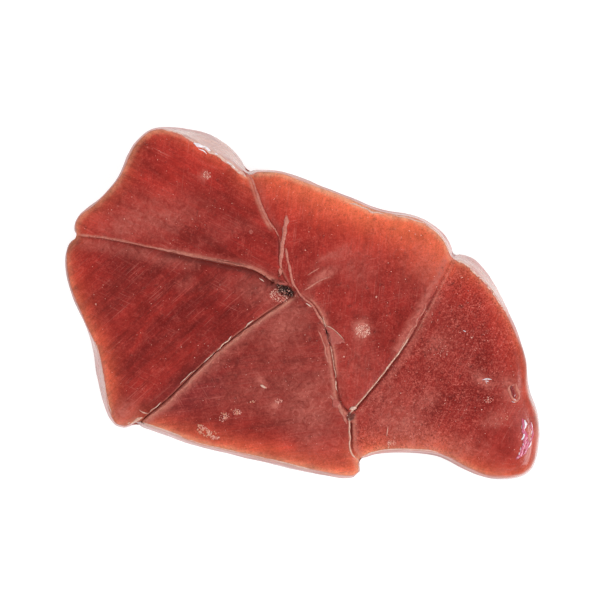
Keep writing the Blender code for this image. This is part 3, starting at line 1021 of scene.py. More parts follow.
def lip_profile(seam, signed, along, widen=1.0):
    """The height of the lips beside a seam, and how pale it is there."""
    height = np.zeros(len(signed))
    paleness = np.zeros(len(signed))
    share = seam.share_along(along)
    for place, half_width, lift, start, end, strength in LIPS[seam.name]:
        taper = rise(share, start - 0.03, start + 0.05) * rise(share, end + 0.03, end - 0.05)
        hill = bump_at(signed, place, half_width * widen) * taper
        height += hill * lift
        paleness = np.maximum(paleness, hill * strength)
    return height, paleness


def band_profile(bands, seam, signed, along):
    """How strong the bands beside a seam are at each place."""
    strengths = np.zeros(len(signed))
    share = seam.share_along(along)
    for place, half_width, start, end, strength in bands[seam.name]:
        taper = rise(share, start - 0.04, start + 0.08) * rise(share, end + 0.04, end - 0.02)
        strengths = np.maximum(strengths, bump_at(signed, place, half_width) * taper * strength)
    return strengths


def pit_depth_share(flat):
    """How far inside a pit each place is: 0 outside, 1 at its middle."""
    share = np.zeros(len(flat))
    for centre, length, width, turn in PITS.values():
        along, across = turned(flat - np.array(centre), turn)
        radius = np.hypot(along * 2 / length, across * 2 / width)
        share = np.maximum(share, np.clip(1.15 - radius, 0, 1))
    return share


def shape_flesh(mesh, steak, waviness):
    """Cuts the seams, raises their lips and makes the surfaces uneven."""
    places = places_of(mesh)
    facing = facings_of(mesh)
    flat = places[:, :2]
    inside = steak.outline.nearest(flat)[0]
    distance, gaps = steak.nearest_seam(flat)
    snapped = distance < 0.13
    places[snapped, :2] -= gaps[snapped]
    flat = places[:, :2]
    blocks = block_of(places[:, :2] + np.where(snapped[:, None], gaps * 0.01, 0), steak.seams)
    in_pit = pit_depth_share(flat) > 0

    is_high = places[:, 2] > 12.5
    top = np.where(is_high, rise(facing[:, 2], 0.15, 0.6), 0.0)
    top = np.where(is_high & (inside > 2.5) & ~in_pit, 1.0, top)
    under = np.where(places[:, 2] < 4, rise(facing[:, 2], -0.2, -0.7), 0.0)
    side = np.clip(1 - top - under, 0, 1) * ~in_pit

    floor = steak.level(flat, blocks) - PIT_SHOWN * np.clip(pit_depth_share(flat) * 1.6, 0, 1)
    is_pit = in_pit & (places[:, 2] < floor) & (places[:, 2] > 5)
    places[:, 2] = np.where(is_pit, floor, places[:, 2])

    near = rise(distance, 3.8, 2.4) * rise(inside, 0.8, 3.2) * is_high * ~in_pit
    places[:, 2] += (steak.level(flat, blocks) - places[:, 2]) * near

    cut = np.zeros(len(places))
    lips = np.zeros(len(places))
    crease = np.zeros(len(places))
    wander = relief(places, 2.4, 11, 2) * 0.16
    for seam in steak.seams.values():
        signed, along, _ = seam.nearest(flat)
        depth, slit_depth, left, right, at_start, at_end = SEAM_CUTS[seam.name]
        share = np.clip(seam.share_along(along), 0, 1)
        much = at_start + (at_end - at_start) * rise(share, 0.1, 0.8)
        width = np.where(signed > 0, left[0], right[0])
        sharpness = np.where(signed > 0, left[1], right[1])
        shoulder = np.clip(1 - abs(signed) / width, 0, 1) ** sharpness
        slit = bump_at(signed, 0.0, SLIT_WIDTH)
        cut = np.maximum(cut, (depth * shoulder + slit_depth * slit) * much)
        crease = np.maximum(crease, bump_at(signed, 0.0, 0.8))
        lips = np.maximum(lips, lip_profile(seam, signed + wander, along)[0])
    rough_lips = 1 + 0.5 * relief(places, 1.3, 21)
    places[:, 2] += (lips * rough_lips - cut) * top * ~in_pit
    places[:, 2] += 0.8 * crease * under

    swell = relief(places, 13.0, 31, 2) * waviness / MM
    grain = relief(places, 2.2, 35, 2) * 0.035
    places[:, 2] += (swell + grain) * top * rise(distance, 0.3, 2.0)

    outward = facing[:, :2] / np.maximum(np.hypot(*facing[:, :2].T), 0.2)[:, None]
    streaks = relief(places * (1 / 6, 1 / 6, 1 / 3), 1.0, 41, 2) * 0.12
    bulges = relief(places, 9.0, 45, 2) * 0.35
    shift = (streaks + bulges - 1.1 * bump_at(distance, 0.0, 0.9)) * side
    places[:, :2] += outward * shift[:, None]
    places = np.clip(places, LOW, HIGH)
    put_places(mesh, places)


def paint_flesh(mesh, steak):
    """Works out the flesh's colour and finish at each vertex, painted glow and shade included."""
    places = places_of(mesh)
    facing = facings_of(mesh)
    flat = places[:, :2]
    inside, around, _ = steak.outline.nearest(flat)
    blocks = block_of(flat, steak.seams)
    top = rise(facing[:, 2], 0.2, 0.75)
    under = rise(facing[:, 2], -0.2, -0.75)
    side = np.clip(1 - top - under, 0, 1)

    warp = np.stack([relief(places, 9.0, 51, 3) * 3.0, relief(places, 9.0, 61, 3) * 3.0], axis=1)
    moved = flat + warp
    uneven = 1 + 0.5 * relief(places, 5.0, 71, 3)

    finishes = {name: linear(shown) for name, shown in FINISHES.items()}
    base = np.array([finishes[block["finish"]] for block in BLOCKS.values()])
    tint = base[blocks]
    haze = np.zeros(len(places))
    for finish, x, y, length, width, turn, strength in PATCHES:
        along, across = turned(moved - (x, y), turn)
        spread = (along * 2 / length) ** 2 + (across * 2 / width) ** 2
        share = np.clip(strength * np.exp(-spread) * uneven, 0, 1)
        if finish == "haze":
            haze += share * 1.3
        else:
            tint = tint * (1 - share[:, None]) + finishes[finish] * share[:, None]

    # Painted glow: the flesh is painted scarlet and orange inwards from the rim, for light shining through
    # the thin flesh there
    rim = np.array(RIM)
    away = np.linalg.norm(flat[:, None, :] - rim[None, :, :2], axis=2)
    weight = np.exp(-((away / RIM_REACH) ** 2)) + 1e-9
    reach, glow, paleness, film = (weight @ rim[:, 2:] / weight.sum(axis=1)[:, None]).T
    depth_in = np.maximum(inside + relief(places, 4.0, 81, 2) * 0.8, 0)
    low = side * rise(places[:, 2], 14.5, 6.0)
    for name, share, spread in (("scarlet", 0.55, 1.35), ("orange", 1.0, 0.9)):
        painted_glow = share * glow * np.exp(-((depth_in / (reach * spread)) ** 1.6)) * uneven**0.5
        painted_glow = (np.clip(painted_glow, 0, 1) * (1 - side * 0.7) * (1 - low * 0.95))[:, None]
        tint = tint * (1 - painted_glow) + finishes[name] * painted_glow
    # Painted bright edge: peach along the rim and on the upper sides, for the light shining through them
    edge = rise(inside + relief(places, 2.0, 85, 2) * 0.5, 2.4, 0.3)
    edge = (edge * np.maximum(paleness * (1 - side * 0.3), side * 0.25) * (1 - low * 0.9))[:, None]
    tint = tint * (1 - edge) + finishes["peach"] * edge

    pale = np.zeros(len(places))
    shade = np.zeros(len(places))
    wander = relief(places, 2.4, 11, 2) * 0.16
    for seam in steak.seams.values():
        signed, along, _ = seam.nearest(flat)
        pale = np.maximum(pale, lip_profile(seam, signed + wander, along)[1])
        shade = np.maximum(shade, band_profile(SHADES, seam, signed, along))
        haze = np.maximum(haze, band_profile(HAZE_BANDS, seam, signed + wander * 3, along))
    # How far into a pit each place is, for the painted shade there
    pits = rise(pit_depth_share(flat) + relief(places, 1.1, 99, 2) * 0.4, 0.1, 0.6) * (facing[:, 2] > -0.5)

    angle = around / steak.outline.length * 2 * math.pi
    radius = steak.outline.length / (2 * math.pi)
    wall = np.column_stack([radius * np.cos(angle), radius * np.sin(angle), places[:, 2]])
    streaky = relief(wall * (1 / 10, 1 / 10, 1 / 5), 1.0, 91, 3)
    beyond = rise(inside, 0.9 + 1.5 * film, -0.5 + 1.3 * film)
    film = np.clip(0.12 + film + 0.45 * streaky, 0, 1) * np.maximum(side, beyond * film)

    fibres = np.array([block["fibres"] for block in BLOCKS.values()])[blocks]
    angle = np.radians(fibres)
    along = flat[:, 0] * np.cos(angle) + flat[:, 1] * np.sin(angle)
    across = flat[:, 1] * np.cos(angle) - flat[:, 0] * np.sin(angle)
    grain = np.column_stack([along, across, places[:, 2]])
    frost = np.array([block["frost"] for block in BLOCKS.values()])[blocks] * (1 - side)
    frost *= 1 - 0.85 * rise(flat[:, 0] - flat[:, 1] * 0.5, 68.0, 86.0)
    frost *= 1 + 0.6 * relief(places, 6.0, 97, 3)

    store(mesh, "tint", np.column_stack([tint, np.ones(len(tint))]))
    pale *= 1 + 0.55 * relief(places, 3.1, 95, 2)
    store(mesh, "pale", pale * (top + under * 0.6))
    store(mesh, "haze", haze * (1 - 0.6 * side))
    store(mesh, "shade", shade)
    store(mesh, "pit", pits * (1 - 0.3 * rise(flat[:, 1], -20.0, -30.0)))
    store(mesh, "film", film)
    store(mesh, "frost", frost)
    store(mesh, "side", side)
    bands = np.array([block["bands"] for block in BLOCKS.values()])[blocks]
    store(mesh, "bands", bands * (1 - 0.75 * side))
    store(mesh, "wet", rise(flat[:, 0], 58.0, 68.0) * rise(flat[:, 1], -18.0, -30.0))
    store(mesh, "grain", grain)
    store(mesh, "wall", wall)


def flesh_finish(settings):
    """Raw red flesh with fibres, frosty specks, seam tissue and film, with painted shade in the seams and
    pits and a painted glow along the rim.
    """
    finish = Finish("raw_flesh")
    place = finish.place()
    grain = finish.attribute("grain", "Vector")
    wall = finish.attribute("wall", "Vector")
    side = finish.attribute("side")
    frost = finish.attribute("frost")
    film = finish.attribute("film")

    clouds = finish.noise(place, 6.5, 5.0, 0.6)
    mesh_like = finish.noise(place, 2.4, 6.0, 0.72, 1.2)
    banded = finish.attribute("bands")
    fibres = finish.noise(finish.scaled(grain, (1 / 8, 1 / 0.6, 1 / 3)), 1.0, 3.0, 0.6, 0.6)
    bands = finish.noise(finish.scaled(grain, (1 / 34, 1 / 4.2, 1 / 20)), 1.0, 3.0, 0.55, 0.3)
    specks = finish.noise(place, 0.5, 2.0, 0.6, 0.8)
    grit = finish.noise(place, 0.9, 3.0, 0.7)
    factor = finish.product(
        finish.span(clouds, 0.3, 0.7, 0.82, 1.2),
        finish.span(mesh_like, 0.3, 0.7, 0.84, 1.16),
        finish.math("ADD", 1.0, finish.product(banded, finish.span(fibres, 0.3, 0.7, -0.16, 0.17))),
        finish.math("ADD", 1.0, finish.product(banded, finish.span(bands, 0.3, 0.7, -0.24, 0.27))),
        finish.math(
            "ADD",
            finish.span(specks, 0.3, 0.7, 0.93, 1.08),
            finish.product(frost, finish.span(specks, 0.3, 0.7, -0.21, 0.22)),
        ),
    )
    tint = finish.lit(finish.attribute("tint", "Color"), factor)

    haze = finish.product(finish.attribute("haze"), finish.span(mesh_like, 0.32, 0.66, 0.25, 1.1))
    haze = finish.product(haze, finish.span(grit, 0.3, 0.65, 0.7, 1.2))
    everywhere = finish.product(finish.span(mesh_like, 0.52, 0.72), 0.14)
    tint = finish.mix(finish.math("ADD", haze, everywhere), tint, colour((192, 104, 92)))

    scratches = finish.noise(finish.scaled(grain, (1 / 13, 1 / 0.28, 1 / 3)), 1.0, 2.0, 0.5, 0.3)
    crossed = finish.turned(grain, 68.0)
    crossing = finish.noise(finish.scaled(crossed, (1 / 10, 1 / 0.25, 1 / 3)), 1.0, 2.0, 0.5, 0.3)
    marks = finish.math("MAXIMUM", finish.span(scratches, 0.6, 0.7), finish.span(crossing, 0.62, 0.72))
    scratched = finish.product(marks, finish.span(clouds, 0.42, 0.6), 0.4)
    tint = finish.mix(scratched, tint, colour((204, 118, 106)))
    frosty = finish.product(frost, finish.span(specks, 0.5, 0.66), finish.span(mesh_like, 0.36, 0.62))
    tint = finish.mix(finish.product(frosty, 0.75), tint, colour((212, 118, 104)))
    dark = finish.product(frost, finish.span(specks, 0.46, 0.34), 0.5)
    tint = finish.mix(dark, tint, colour((104, 26, 24)))

    layers = finish.noise(finish.scaled(wall, (1 / 16, 1 / 16, 1 / 3.4)), 1.0, 5.0, 0.62, 0.8)
    sunk = finish.product(side, finish.span(layers, 0.5, 0.3), 0.4)
    tint = finish.mix(sunk, tint, colour((112, 26, 24)))
    raised = finish.product(side, finish.span(layers, 0.52, 0.7), 0.35)
    tint = finish.mix(raised, tint, colour((206, 104, 90)))
    ragged = finish.span(finish.math("ADD", film, finish.span(clouds, 0.3, 0.7, -0.25, 0.25)), 0.2, 0.75)
    film_tint = finish.mix(finish.span(clouds, 0.42, 0.6), (*settings.film, 1.0), colour((210, 172, 170)))
    film_tint = finish.mix(finish.span(layers, 0.5, 0.7), film_tint, colour((236, 194, 176)))
    film_tint = finish.mix(finish.span(film, 0.95, 0.55), film_tint, colour((206, 104, 94)))
    tint = finish.mix(finish.product(ragged, 0.85), tint, film_tint)

    # Painted shade in and beside the seams
    shade = finish.attribute("shade")
    tint = finish.mix(finish.product(shade, 0.85), tint, (*settings.shade, 1.0))
    pale = finish.attribute("pale")
    pale = finish.product(pale, finish.span(grit, 0.3, 0.6, 0.55, 1.25))
    tint = finish.mix(pale, tint, (*settings.pale, 1.0))

    # Painted shade: the pits are painted near black for the dark down in them, with pale crumbs of frost
    pit = finish.attribute("pit")
    pit_shade_and_crumbs = finish.mix(finish.span(grit, 0.35, 0.6), colour((22, 12, 12)), colour((66, 30, 26)))
    crumbs = finish.noise(place, 0.34, 1.0, 0.5)
    pit_shade_and_crumbs = finish.mix(finish.span(crumbs, 0.63, 0.7), pit_shade_and_crumbs, colour((190, 172, 160)))
    tint = finish.mix(pit, tint, pit_shade_and_crumbs)

    wet = finish.attribute("wet")
    rough = finish.span(clouds, 0.3, 0.7, 0.3, 0.42)
    rough = finish.math("SUBTRACT", rough, finish.product(wet, 0.16))
    rough = finish.math("SUBTRACT", rough, finish.product(ragged, 0.08))
    height = finish.math("ADD", finish.product(fibres, 0.6), finish.product(specks, 0.5))
    height = finish.math("ADD", height, finish.product(layers, side, 1.0))
    finish.bump(height, 0.2, 0.7)
    finish.put(
        Base_Color=tint,
        Roughness=rough,
        IOR=1.38,
        Specular_IOR_Level=0.25,
        Coat_Roughness=0.12,
        Coat_Weight=finish.product(finish.math("ADD", wet, ragged), 0.35),
        Subsurface_Weight=0.12,
        Subsurface_Radius=(1.0, 0.35, 0.25),
        Subsurface_Scale=2.5 * MM,
    )
    return finish.material


class TUNA_OT_flesh(bpy.types.Operator):
    """Builds the steak's flesh with its seams, lips and sides"""

    bl_idname = "tuna.flesh"
    bl_label = "Flesh"

    def execute(self, context):
        settings = context.scene.tuna_flesh
        mesh = remeshed(filled_copy(STEAK), settings.voxel)
        mesh.name = "flesh"
        soften(mesh, 3)
        places = places_of(mesh)
        distance, _ = STEAK.nearest_seam(places[:, :2])
        refine(mesh, (places[:, 2] > 12.0) | (distance < 1.8) & (places[:, 2] < 1.2))
        soften(mesh, 2)
        places = places_of(mesh)
        distance, _ = STEAK.nearest_seam(places[:, :2])
        refine(mesh, (distance < 1.4) & (places[:, 2] > 14.5))
        shape_flesh(mesh, STEAK, settings.waviness)
        paint_flesh(mesh, STEAK)
        piece = add_piece("flesh", mesh, flesh_finish(settings))
        STEAK.surface = BVHTree.FromObject(piece, context.evaluated_depsgraph_get())
        return {"FINISHED"}


# ----------------------------------------------------------------------------------------
# Strands, islands and frost
# ----------------------------------------------------------------------------------------


class TissueSettings(bpy.types.PropertyGroup):
    """Sizes and colours of the membranes, threads and film."""

    sides: IntProperty(
        name="Sides",
        description="Number of sides round each strand",
        default=8,
        min=4,
    )
    step: FloatProperty(
        name="Step",
        description="Distance between the rings of a strand",
        default=0.35 * MM,
        unit="LENGTH",
    )
    membrane: FloatVectorProperty(
        name="Membrane",
        description="Colour of the tissue on the seams",
        subtype="COLOR",
        default=tuple(linear((204, 128, 112))),
    )
    thread: FloatVectorProperty(
        name="Thread",
        description="Colour of the brightest threads",
        subtype="COLOR",
        default=tuple(linear((228, 182, 162))),
    )
    film: FloatVectorProperty(
        name="Rim film",
        description="Colour of the film's edge along the rim",
        subtype="COLOR",
        default=tuple(linear((234, 198, 182))),
    )
    # Partly painted sheen: the wet ridge's pale colours stand in for its highlight
    wet: FloatVectorProperty(
        name="Wet ridge",
        description="Colour of the thick wet tissue",
        subtype="COLOR",
        default=tuple(linear((208, 96, 124))),
    )
    glint: FloatVectorProperty(
        name="Glint",
        description="Colour of the small bright spots on the wet tissue",
        subtype="COLOR",
        default=tuple(linear((252, 246, 250))),
    )


def beside(name, offset, start, end):
    """A route that keeps its distance from a seam, between two shares of the seam."""
    points = smooth_route(SEAM_ROUTES[name], 2.0)
    ways = np.gradient(points, axis=0)
    ways /= np.linalg.norm(ways, axis=1)[:, None]
    left = np.column_stack([-ways[:, 1], ways[:, 0]])
    shares = np.linspace(0, 1, len(points))
    wanted = np.linspace(start, min(end, 1.0), max(3, round((end - start) * len(points))))
    moved = points + left * offset
    return np.column_stack([np.interp(wanted, shares, axis) for axis in moved.T])


def strand_rings(route, width, height, wander, seed, settings):
    """The rings of a tapering strand that lies on the flesh."""
    line = smooth_route(beside(*route) if isinstance(route[0], str) else route, settings.step / MM)
    ways = np.gradient(line, axis=0)
    ways /= np.linalg.norm(ways, axis=1)[:, None]
    left = np.column_stack([-ways[:, 1], ways[:, 0]])
    steps = np.arange(len(line))[:, None] * (1.0, 0.0, 0.0) * settings.step / MM
    line = line + left * (relief(steps, 1.9, seed) * wander)[:, None]
    share = np.linspace(0, 1, len(line))
    taper = np.clip(np.minimum(share, 1 - share) * len(line) * 0.25, 0.2, 1) ** 0.6
    widths = width * taper * (1 + 0.45 * relief(steps, 1.6, seed + 1, 2))
    heights = height * taper * (1 + 0.5 * relief(steps, 1.1, seed + 2, 2))
    rings = []
    for place, across, wide, high in zip(line, left, widths, heights):
        spot, normal = STEAK.on_flesh(*place)
        across = Vector((*across, 0.0))
        across -= normal * across.dot(normal)
        across.normalize()
        ring = []
        for turn in np.arange(settings.sides) / settings.sides * 2 * math.pi:
            out = across * (math.cos(turn) * wide / 2) + normal * (math.sin(turn) * high / 2 + high * 0.12)
            ring.append(spot + out * MM)
        rings.append(ring)
    return rings


def strands_mesh(name, settings):
    """All strands of a piece in one mesh."""
    bm = bmesh.new()
    for number, (route, width, height, wander) in enumerate(STRANDS[name]):
        seed = 200 + 10 * number
        rings = strand_rings(route, width, height, wander, seed, settings)
        rows = [[bm.verts.new(point) for point in ring] for ring in rings]
        for row, onward in zip(rows, rows[1:]):
            for side in range(len(row)):
                after = (side + 1) % len(row)
                bm.faces.new((row[side], onward[side], onward[after], row[after]))
        bm.faces.new(rows[0])
        bm.faces.new(rows[-1][::-1])
    bmesh.ops.recalc_face_normals(bm, faces=bm.faces[:])
    mesh = bpy.data.meshes.new(name)
    bm.to_mesh(mesh)
    bm.free()
    put_places(mesh, np.clip(places_of(mesh), LOW, HIGH))
    return mesh


def island_rings(corners, height, seed):
    """The rings of a low rounded island on the flesh, from its shore to its middle."""
    closed = np.vstack([corners[-1:], corners, corners[:2]])
    shore = smooth_route(closed, 0.3)
    first = np.linalg.norm(shore[: len(shore) // 2] - corners[0], axis=1).argmin()
    last = len(shore) // 2 + np.linalg.norm(shore[len(shore) // 2 :] - corners[0], axis=1).argmin()
    shore = shore[first:last]
    middle = shore.mean(axis=0)
    flat = np.column_stack([shore, np.zeros(len(shore))])
    uneven = 1 + 0.22 * relief(flat, 0.9, seed, 2)
    rings = []
    for share, lift in ((1.0, -0.15), (0.95, 0.45), (0.82, 0.85), (0.55, 1.0), (0.25, 0.9)):
        places = middle + (shore - middle) * (share * uneven)[:, None]
        deep = np.column_stack([places, np.zeros(len(places))])
        lifts = height * lift * (1 + 0.35 * relief(deep, 0.8, seed + 1))
        ring = []
        for place, high in zip(places, lifts):
            spot, normal = STEAK.on_flesh(*place)
            ring.append(spot + normal * (high * MM))
        rings.append(ring)
    return rings


def islands_mesh(name):
    """All islands of a piece in one mesh."""
    bm = bmesh.new()
    for number, (corners, height) in enumerate(ISLANDS[name]):
        rows = [
            [bm.verts.new(point) for point in ring]
            for ring in island_rings(np.array(corners), height, 400 + 10 * number)
        ]
        for row, onward in zip(rows, rows[1:]):
            for side in range(len(row)):
                after = (side + 1) % len(row)
                bm.faces.new((row[side], row[after], onward[after], onward[side]))
        bm.faces.new(rows[-1])
        bm.faces.new(rows[0][::-1])
    bmesh.ops.recalc_face_normals(bm, faces=bm.faces[:])
    mesh = bpy.data.meshes.new(name)
    bm.to_mesh(mesh)
    bm.free()
    put_places(mesh, np.clip(places_of(mesh), LOW, HIGH))
    return mesh


def tissue_finish(name, tint, other, rough, coat):
    """Pale moist tissue, blotched with a second colour. Some pieces use it for painted glints and sheen."""
    finish = Finish(name)
    place = finish.place()
    grit = finish.noise(place, 0.7, 3.0, 0.65)
    clouds = finish.noise(place, 3.0, 2.0)
    share = finish.product(finish.span(grit, 0.42, 0.66), finish.span(clouds, 0.3, 0.6, 0.4, 1.0))
    finish.bump(grit, 0.1, 0.5)
    finish.put(
        Base_Color=finish.mix(share, (*tint, 1.0), colour(other)),
        Roughness=finish.span(grit, 0.3, 0.7, rough, rough + 0.15),
        IOR=1.38,
        Specular_IOR_Level=0.4,
        Coat_Roughness=0.06,
        Coat_Weight=coat,
        Subsurface_Weight=0.15,
        Subsurface_Radius=(1.0, 0.5, 0.4),
        Subsurface_Scale=0.6 * MM,
    )
    return finish.material


class TUNA_OT_membranes(bpy.types.Operator):
    """Lays pale membranes and tendons on the seams"""

    bl_idname = "tuna.membranes"
    bl_label = "Seam membranes"

    def execute(self, context):
        settings = context.scene.tuna_tissue
        material = tissue_finish("membrane", settings.membrane, (178, 88, 78), 0.4, 0.1)
        add_piece("seam_membranes", strands_mesh("seam_membranes", settings), material)
        flap = tissue_finish("membrane_flap", linear((184, 96, 86)), (162, 70, 62), 0.35, 0.2)
        add_piece("membrane_flaps", islands_mesh("membrane_flaps"), flap)
        return {"FINISHED"}


class TUNA_OT_threads(bpy.types.Operator):
    """Adds the bright threads and the glints along the creases"""

    bl_idname = "tuna.threads"
    bl_label = "Bright threads"

    def execute(self, context):
        settings = context.scene.tuna_tissue
        material = tissue_finish("bright_thread", settings.thread, (206, 140, 124), 0.25, 0.3)
        add_piece("bright_threads", strands_mesh("bright_threads", settings), material)
        glint = tissue_finish("crease_glint", settings.thread, (244, 222, 210), 0.15, 0.6)
        add_piece("crease_glints", strands_mesh("crease_glints", settings), glint)
        flake = tissue_finish("pale_flake", settings.thread, (214, 176, 164), 0.25, 0.3)
        add_piece("pale_flakes", islands_mesh("pale_flakes"), flake)
        return {"FINISHED"}


class TUNA_OT_film(bpy.types.Operator):
    """Adds the edge of the film along the rim, the thick wet tissue, whose pale colours partly paint its
    sheen, the painted glints and the wet drops
    """

    bl_idname = "tuna.film"
    bl_label = "Rim film"

    def execute(self, context):
        settings = context.scene.tuna_tissue
        material = tissue_finish("rim_film", settings.film, (214, 150, 138), 0.3, 0.3)
        add_piece("rim_film", strands_mesh("rim_film", settings), material)
        wet = tissue_finish("wet_ridge_and_sheen", settings.wet, (210, 122, 146), 0.1, 0.7)
        add_piece("wet_ridges_and_sheen", strands_mesh("wet_ridges_and_sheen", settings), wet)
        glint = tissue_finish("wet_glint", settings.glint, (250, 226, 236), 0.1, 0.8)
        add_piece("wet_glints", strands_mesh("wet_glints", settings), glint)
        drop = tissue_finish("wet_drop", linear((150, 50, 48)), (120, 34, 36), 0.08, 0.9)
        add_piece("wet_drops", islands_mesh("wet_drops"), drop)
        return {"FINISHED"}


class FrostSettings(bpy.types.PropertyGroup):
    """Sizes and numbers of the frost's grains."""

    grain: FloatProperty(
        name="Grain",
        description="Width of a grain of frost",
        default=0.26 * MM,
        unit="LENGTH",
    )
    crumb: FloatProperty(
        name="Crumb",
        description="Width of a crumb of the frost crusts",
        default=0.42 * MM,
        unit="LENGTH",
    )
    tint: FloatVectorProperty(
        name="Frost",
        description="Colour of the frost",
        subtype="COLOR",
        default=tuple(linear((246, 196, 180))),
    )


def frost_places(rng, grain):
    """Where the grains of frost lie, and how wide each is."""
    spots = [(x, y, width * 1.2) for x, y, width in FLECKS]
    for x, y, length, width, turn, count in FROST_PATCHES:
        radius = np.sqrt(rng.uniform(0, 1, count)) / 2
        angle = rng.uniform(0, 2 * math.pi, count)
        places = np.column_stack([np.cos(angle) * radius * length, np.sin(angle) * radius * width])
        along, across = turned(places, -turn)
        sizes = grain * rng.uniform(0.6, 1.5, count)
        spots.extend(zip(x + along, y + across, sizes))
    tries = np.column_stack([rng.uniform(LOW[0], HIGH[0], 16000), rng.uniform(LOW[1], HIGH[1], 16000)])
    inside = STEAK.outline.nearest(tries)[0] * is_inside(tries, STEAK.outline.points[:-1])
    tries = tries[inside > 3.0]
    blocks = block_of(tries, STEAK.seams)
    for number, name in enumerate(BLOCKS):
        for x, y in tries[blocks == number][: SCATTERED[name]]:
            spots.append((x, y, grain * rng.uniform(0.5, 1.1)))
    return spots


def crust_places(rng, crumb):
    """Where the crumbs of the frost crusts lie, and how wide each is."""
    spots = []
    for route, count in CRUSTS:
        line = smooth_route(route, 0.1)
        for place in line[rng.integers(0, len(line), count)]:
            x, y = place + rng.normal(0, 0.28, 2)
            spots.append((x, y, crumb * rng.uniform(0.5, 1.5)))
    return spots


def grains_mesh(name, spots, rng):
    """Small uneven crystals on the flesh in one mesh."""
    bm = bmesh.new()
    for x, y, width in spots:
        spot, normal = STEAK.on_flesh(x, y)
        grain = bmesh.ops.create_icosphere(bm, subdivisions=1, radius=width / 2 * MM)["verts"]
        stretch = Vector(rng.uniform(0.6, 1.4, 3))
        turn = normal.to_track_quat("Z", "Y") @ Euler((0.0, 0.0, rng.uniform(0, 6.28))).to_quaternion()
        for vert in grain:
            uneven = 1 + rng.uniform(-0.25, 0.25)
            local = Vector((vert.co.x * stretch.x, vert.co.y * stretch.y, vert.co.z * 0.7)) * uneven
            vert.co = spot + turn @ local
    mesh = bpy.data.meshes.new(name)
    bm.to_mesh(mesh)
    bm.free()
    put_places(mesh, np.clip(places_of(mesh), LOW, HIGH))
    return mesh


def frost_finish(settings):
    """Cloudy crystals of ice, some of them pinker."""
    finish = Finish("frost")
    place = finish.place()
    clouds = finish.noise(place, 1.2, 2.0)
    finish.bump(finish.noise(place, 0.1, 2.0), 0.05, 0.4)
    finish.put(
        Base_Color=finish.mix(finish.span(clouds, 0.4, 0.62), (*settings.tint, 1.0), colour((216, 128, 114))),
        Roughness=finish.span(clouds, 0.3, 0.7, 0.2, 0.4),
        IOR=1.31,
        Specular_IOR_Level=0.5,
    )
    return finish.material


class TUNA_OT_frost(bpy.types.Operator):
    """Scatters grains of frost over the cut face"""

    bl_idname = "tuna.frost"
    bl_label = "Frost"

    def execute(self, context):
        settings = context.scene.tuna_frost
        rng = np.random.default_rng(5)
        grains = grains_mesh("frost", frost_places(rng, settings.grain / MM), rng)
        add_piece("frost", grains, frost_finish(settings))
        crumbs = grains_mesh("frost_crusts", crust_places(rng, settings.crumb / MM), rng)
        crust = tissue_finish("frost_crust", linear((228, 162, 136)), (204, 116, 96), 0.3, 0.1)
        add_piece("frost_crusts", crumbs, crust)
        return {"FINISHED"}


# ----------------------------------------------------------------------------------------
# The stage
# ----------------------------------------------------------------------------------------


class StageSettings(bpy.types.PropertyGroup):
    """The camera, the lights and the floor."""

    distance: FloatProperty(
        name="Camera distance",
        description="Height of the camera above the floor",
        default=3.0,
        unit="LENGTH",
    )
    width: FloatProperty(
        name="View width",
        description="Width of what the camera sees at the steak",
        default=188.7 * MM,
        unit="LENGTH",
    )
    key: FloatProperty(
        name="Key light",
        description="Power of the large light on the right",
        default=7.4,
        unit="POWER",
    )
    fill: FloatProperty(
        name="Fill lights",
        description="Power of each of the other lights",
        default=3.6,
        unit="POWER",
    )
    world: FloatProperty(
        name="Surroundings",
        description="Brightness of the room",
        default=0.15,
        min=0.0,
    )


def add_light(name, azimuth, elevation, distance, size, power):
    """A square lamp that faces the steak. Azimuth 0 is towards +X and 90 towards +Y."""
    lamp = bpy.data.lights.new(name, "AREA")
    lamp.shape = "SQUARE"
    lamp.size = size
    lamp.energy = power
    light = bpy.data.objects.new(name, lamp)
    turn = math.radians(azimuth)
    lift = math.radians(elevation)
    way = Vector((math.cos(turn) * math.cos(lift), math.sin(turn) * math.cos(lift), math.sin(lift)))
    light.location = way * distance
    light.rotation_euler = way.to_track_quat("Z", "Y").to_euler()
    bpy.context.scene.collection.objects.link(light)
    return light


def floor_finish():
    """A plain pale table top, very faintly uneven."""
    finish = Finish("pale_floor")
    clouds = finish.noise(finish.place(), 40.0, 2.0)
    tint = finish.mix(clouds, colour((152, 152, 152)), colour((149, 149, 150)))
    finish.put(
        Base_Color=tint,
        Roughness=0.7,
        Specular_IOR_Level=0.2,
        Emission_Color=(1.0, 1.0, 1.0, 1.0),
        Emission_Strength=0.85,
    )
    return finish.material


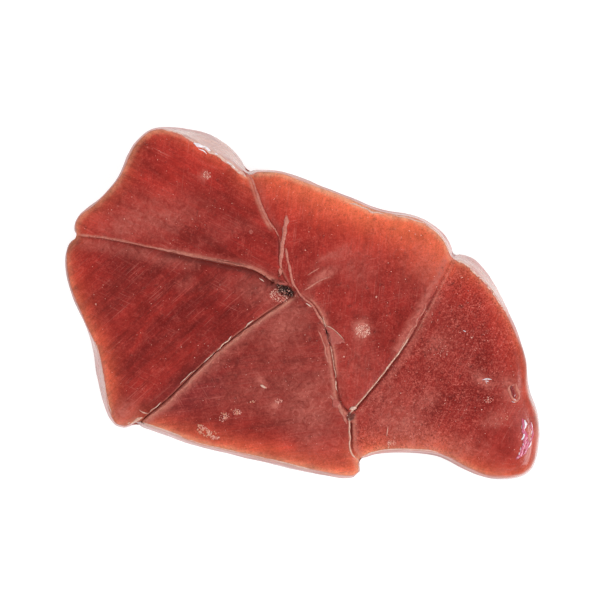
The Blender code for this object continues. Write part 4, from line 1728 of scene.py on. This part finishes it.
class TUNA_OT_stage(bpy.types.Operator):
    """Adds the floor, the soft lights and the camera straight above"""

    bl_idname = "tuna.stage"
    bl_label = "Stage"

    def execute(self, context):
        settings = context.scene.tuna_stage
        scene = context.scene
        mesh = bpy.data.meshes.new("floor")
        bm = bmesh.new()
        bmesh.ops.create_grid(bm, x_segments=8, y_segments=8, size=4.0)
        bm.to_mesh(mesh)
        bm.free()
        mesh.materials.append(floor_finish())
        floor = bpy.data.objects.new("floor", mesh)
        floor.location.z = -0.05 * MM
        scene.collection.objects.link(floor)

        add_light("key_light", -18.0, 42.0, 1.1, 0.55, settings.key)
        for name, azimuth in (("left_light", 170.0), ("back_light", 80.0), ("front_light", -100.0)):
            add_light(name, azimuth, 48.0, 1.2, 0.8, settings.fill)

        world = bpy.data.worlds.new("studio")
        scene.world = world
        world.use_nodes = True
        background = world.node_tree.nodes["Background"]
        background.inputs["Color"].default_value = (1.0, 1.0, 1.0, 1.0)
        background.inputs["Strength"].default_value = settings.world

        lens = bpy.data.cameras.new("camera")
        lens.lens = lens.sensor_width * (settings.distance - 10.0 * MM) / settings.width
        lens.clip_end = 20.0
        camera = bpy.data.objects.new("camera", lens)
        camera.location = (-0.79 * MM, 0.79 * MM, settings.distance)
        scene.collection.objects.link(camera)
        scene.camera = camera
        scene.view_settings.view_transform = "Standard"
        return {"FINISHED"}


class TUNA_PT_steak(bpy.types.Panel):
    """Lists what builds the steak"""

    bl_label = "Raw Tuna Steak"
    bl_idname = "TUNA_PT_steak"
    bl_space_type = "VIEW_3D"
    bl_region_type = "UI"
    bl_category = "Tuna"

    def draw(self, context):
        layout = self.layout
        for operator in OPERATORS:
            layout.operator(operator.bl_idname)
        for name in SETTINGS:
            box = layout.box()
            group = getattr(context.scene, name)
            for key in group.__annotations__:
                box.prop(group, key)


OPERATORS = (
    TUNA_OT_flesh,
    TUNA_OT_membranes,
    TUNA_OT_threads,
    TUNA_OT_film,
    TUNA_OT_frost,
    TUNA_OT_stage,
)
SETTINGS = {
    "tuna_flesh": FleshSettings,
    "tuna_tissue": TissueSettings,
    "tuna_frost": FrostSettings,
    "tuna_stage": StageSettings,
}
STEAK = Steak()


def register():
    for group in SETTINGS.values():
        bpy.utils.register_class(group)
    for name, group in SETTINGS.items():
        setattr(bpy.types.Scene, name, PointerProperty(type=group))
    for operator in OPERATORS:
        bpy.utils.register_class(operator)
    bpy.utils.register_class(TUNA_PT_steak)


def unregister():
    bpy.utils.unregister_class(TUNA_PT_steak)
    for operator in reversed(OPERATORS):
        bpy.utils.unregister_class(operator)
    for name, group in SETTINGS.items():
        delattr(bpy.types.Scene, name)
        bpy.utils.unregister_class(group)


def main():
    """Registers everything and builds each piece in turn."""
    register()
    bpy.ops.tuna.flesh()
    bpy.ops.tuna.membranes()
    bpy.ops.tuna.threads()
    bpy.ops.tuna.film()
    bpy.ops.tuna.frost()
    bpy.ops.tuna.stage()


if __name__ == "__main__":
    main()
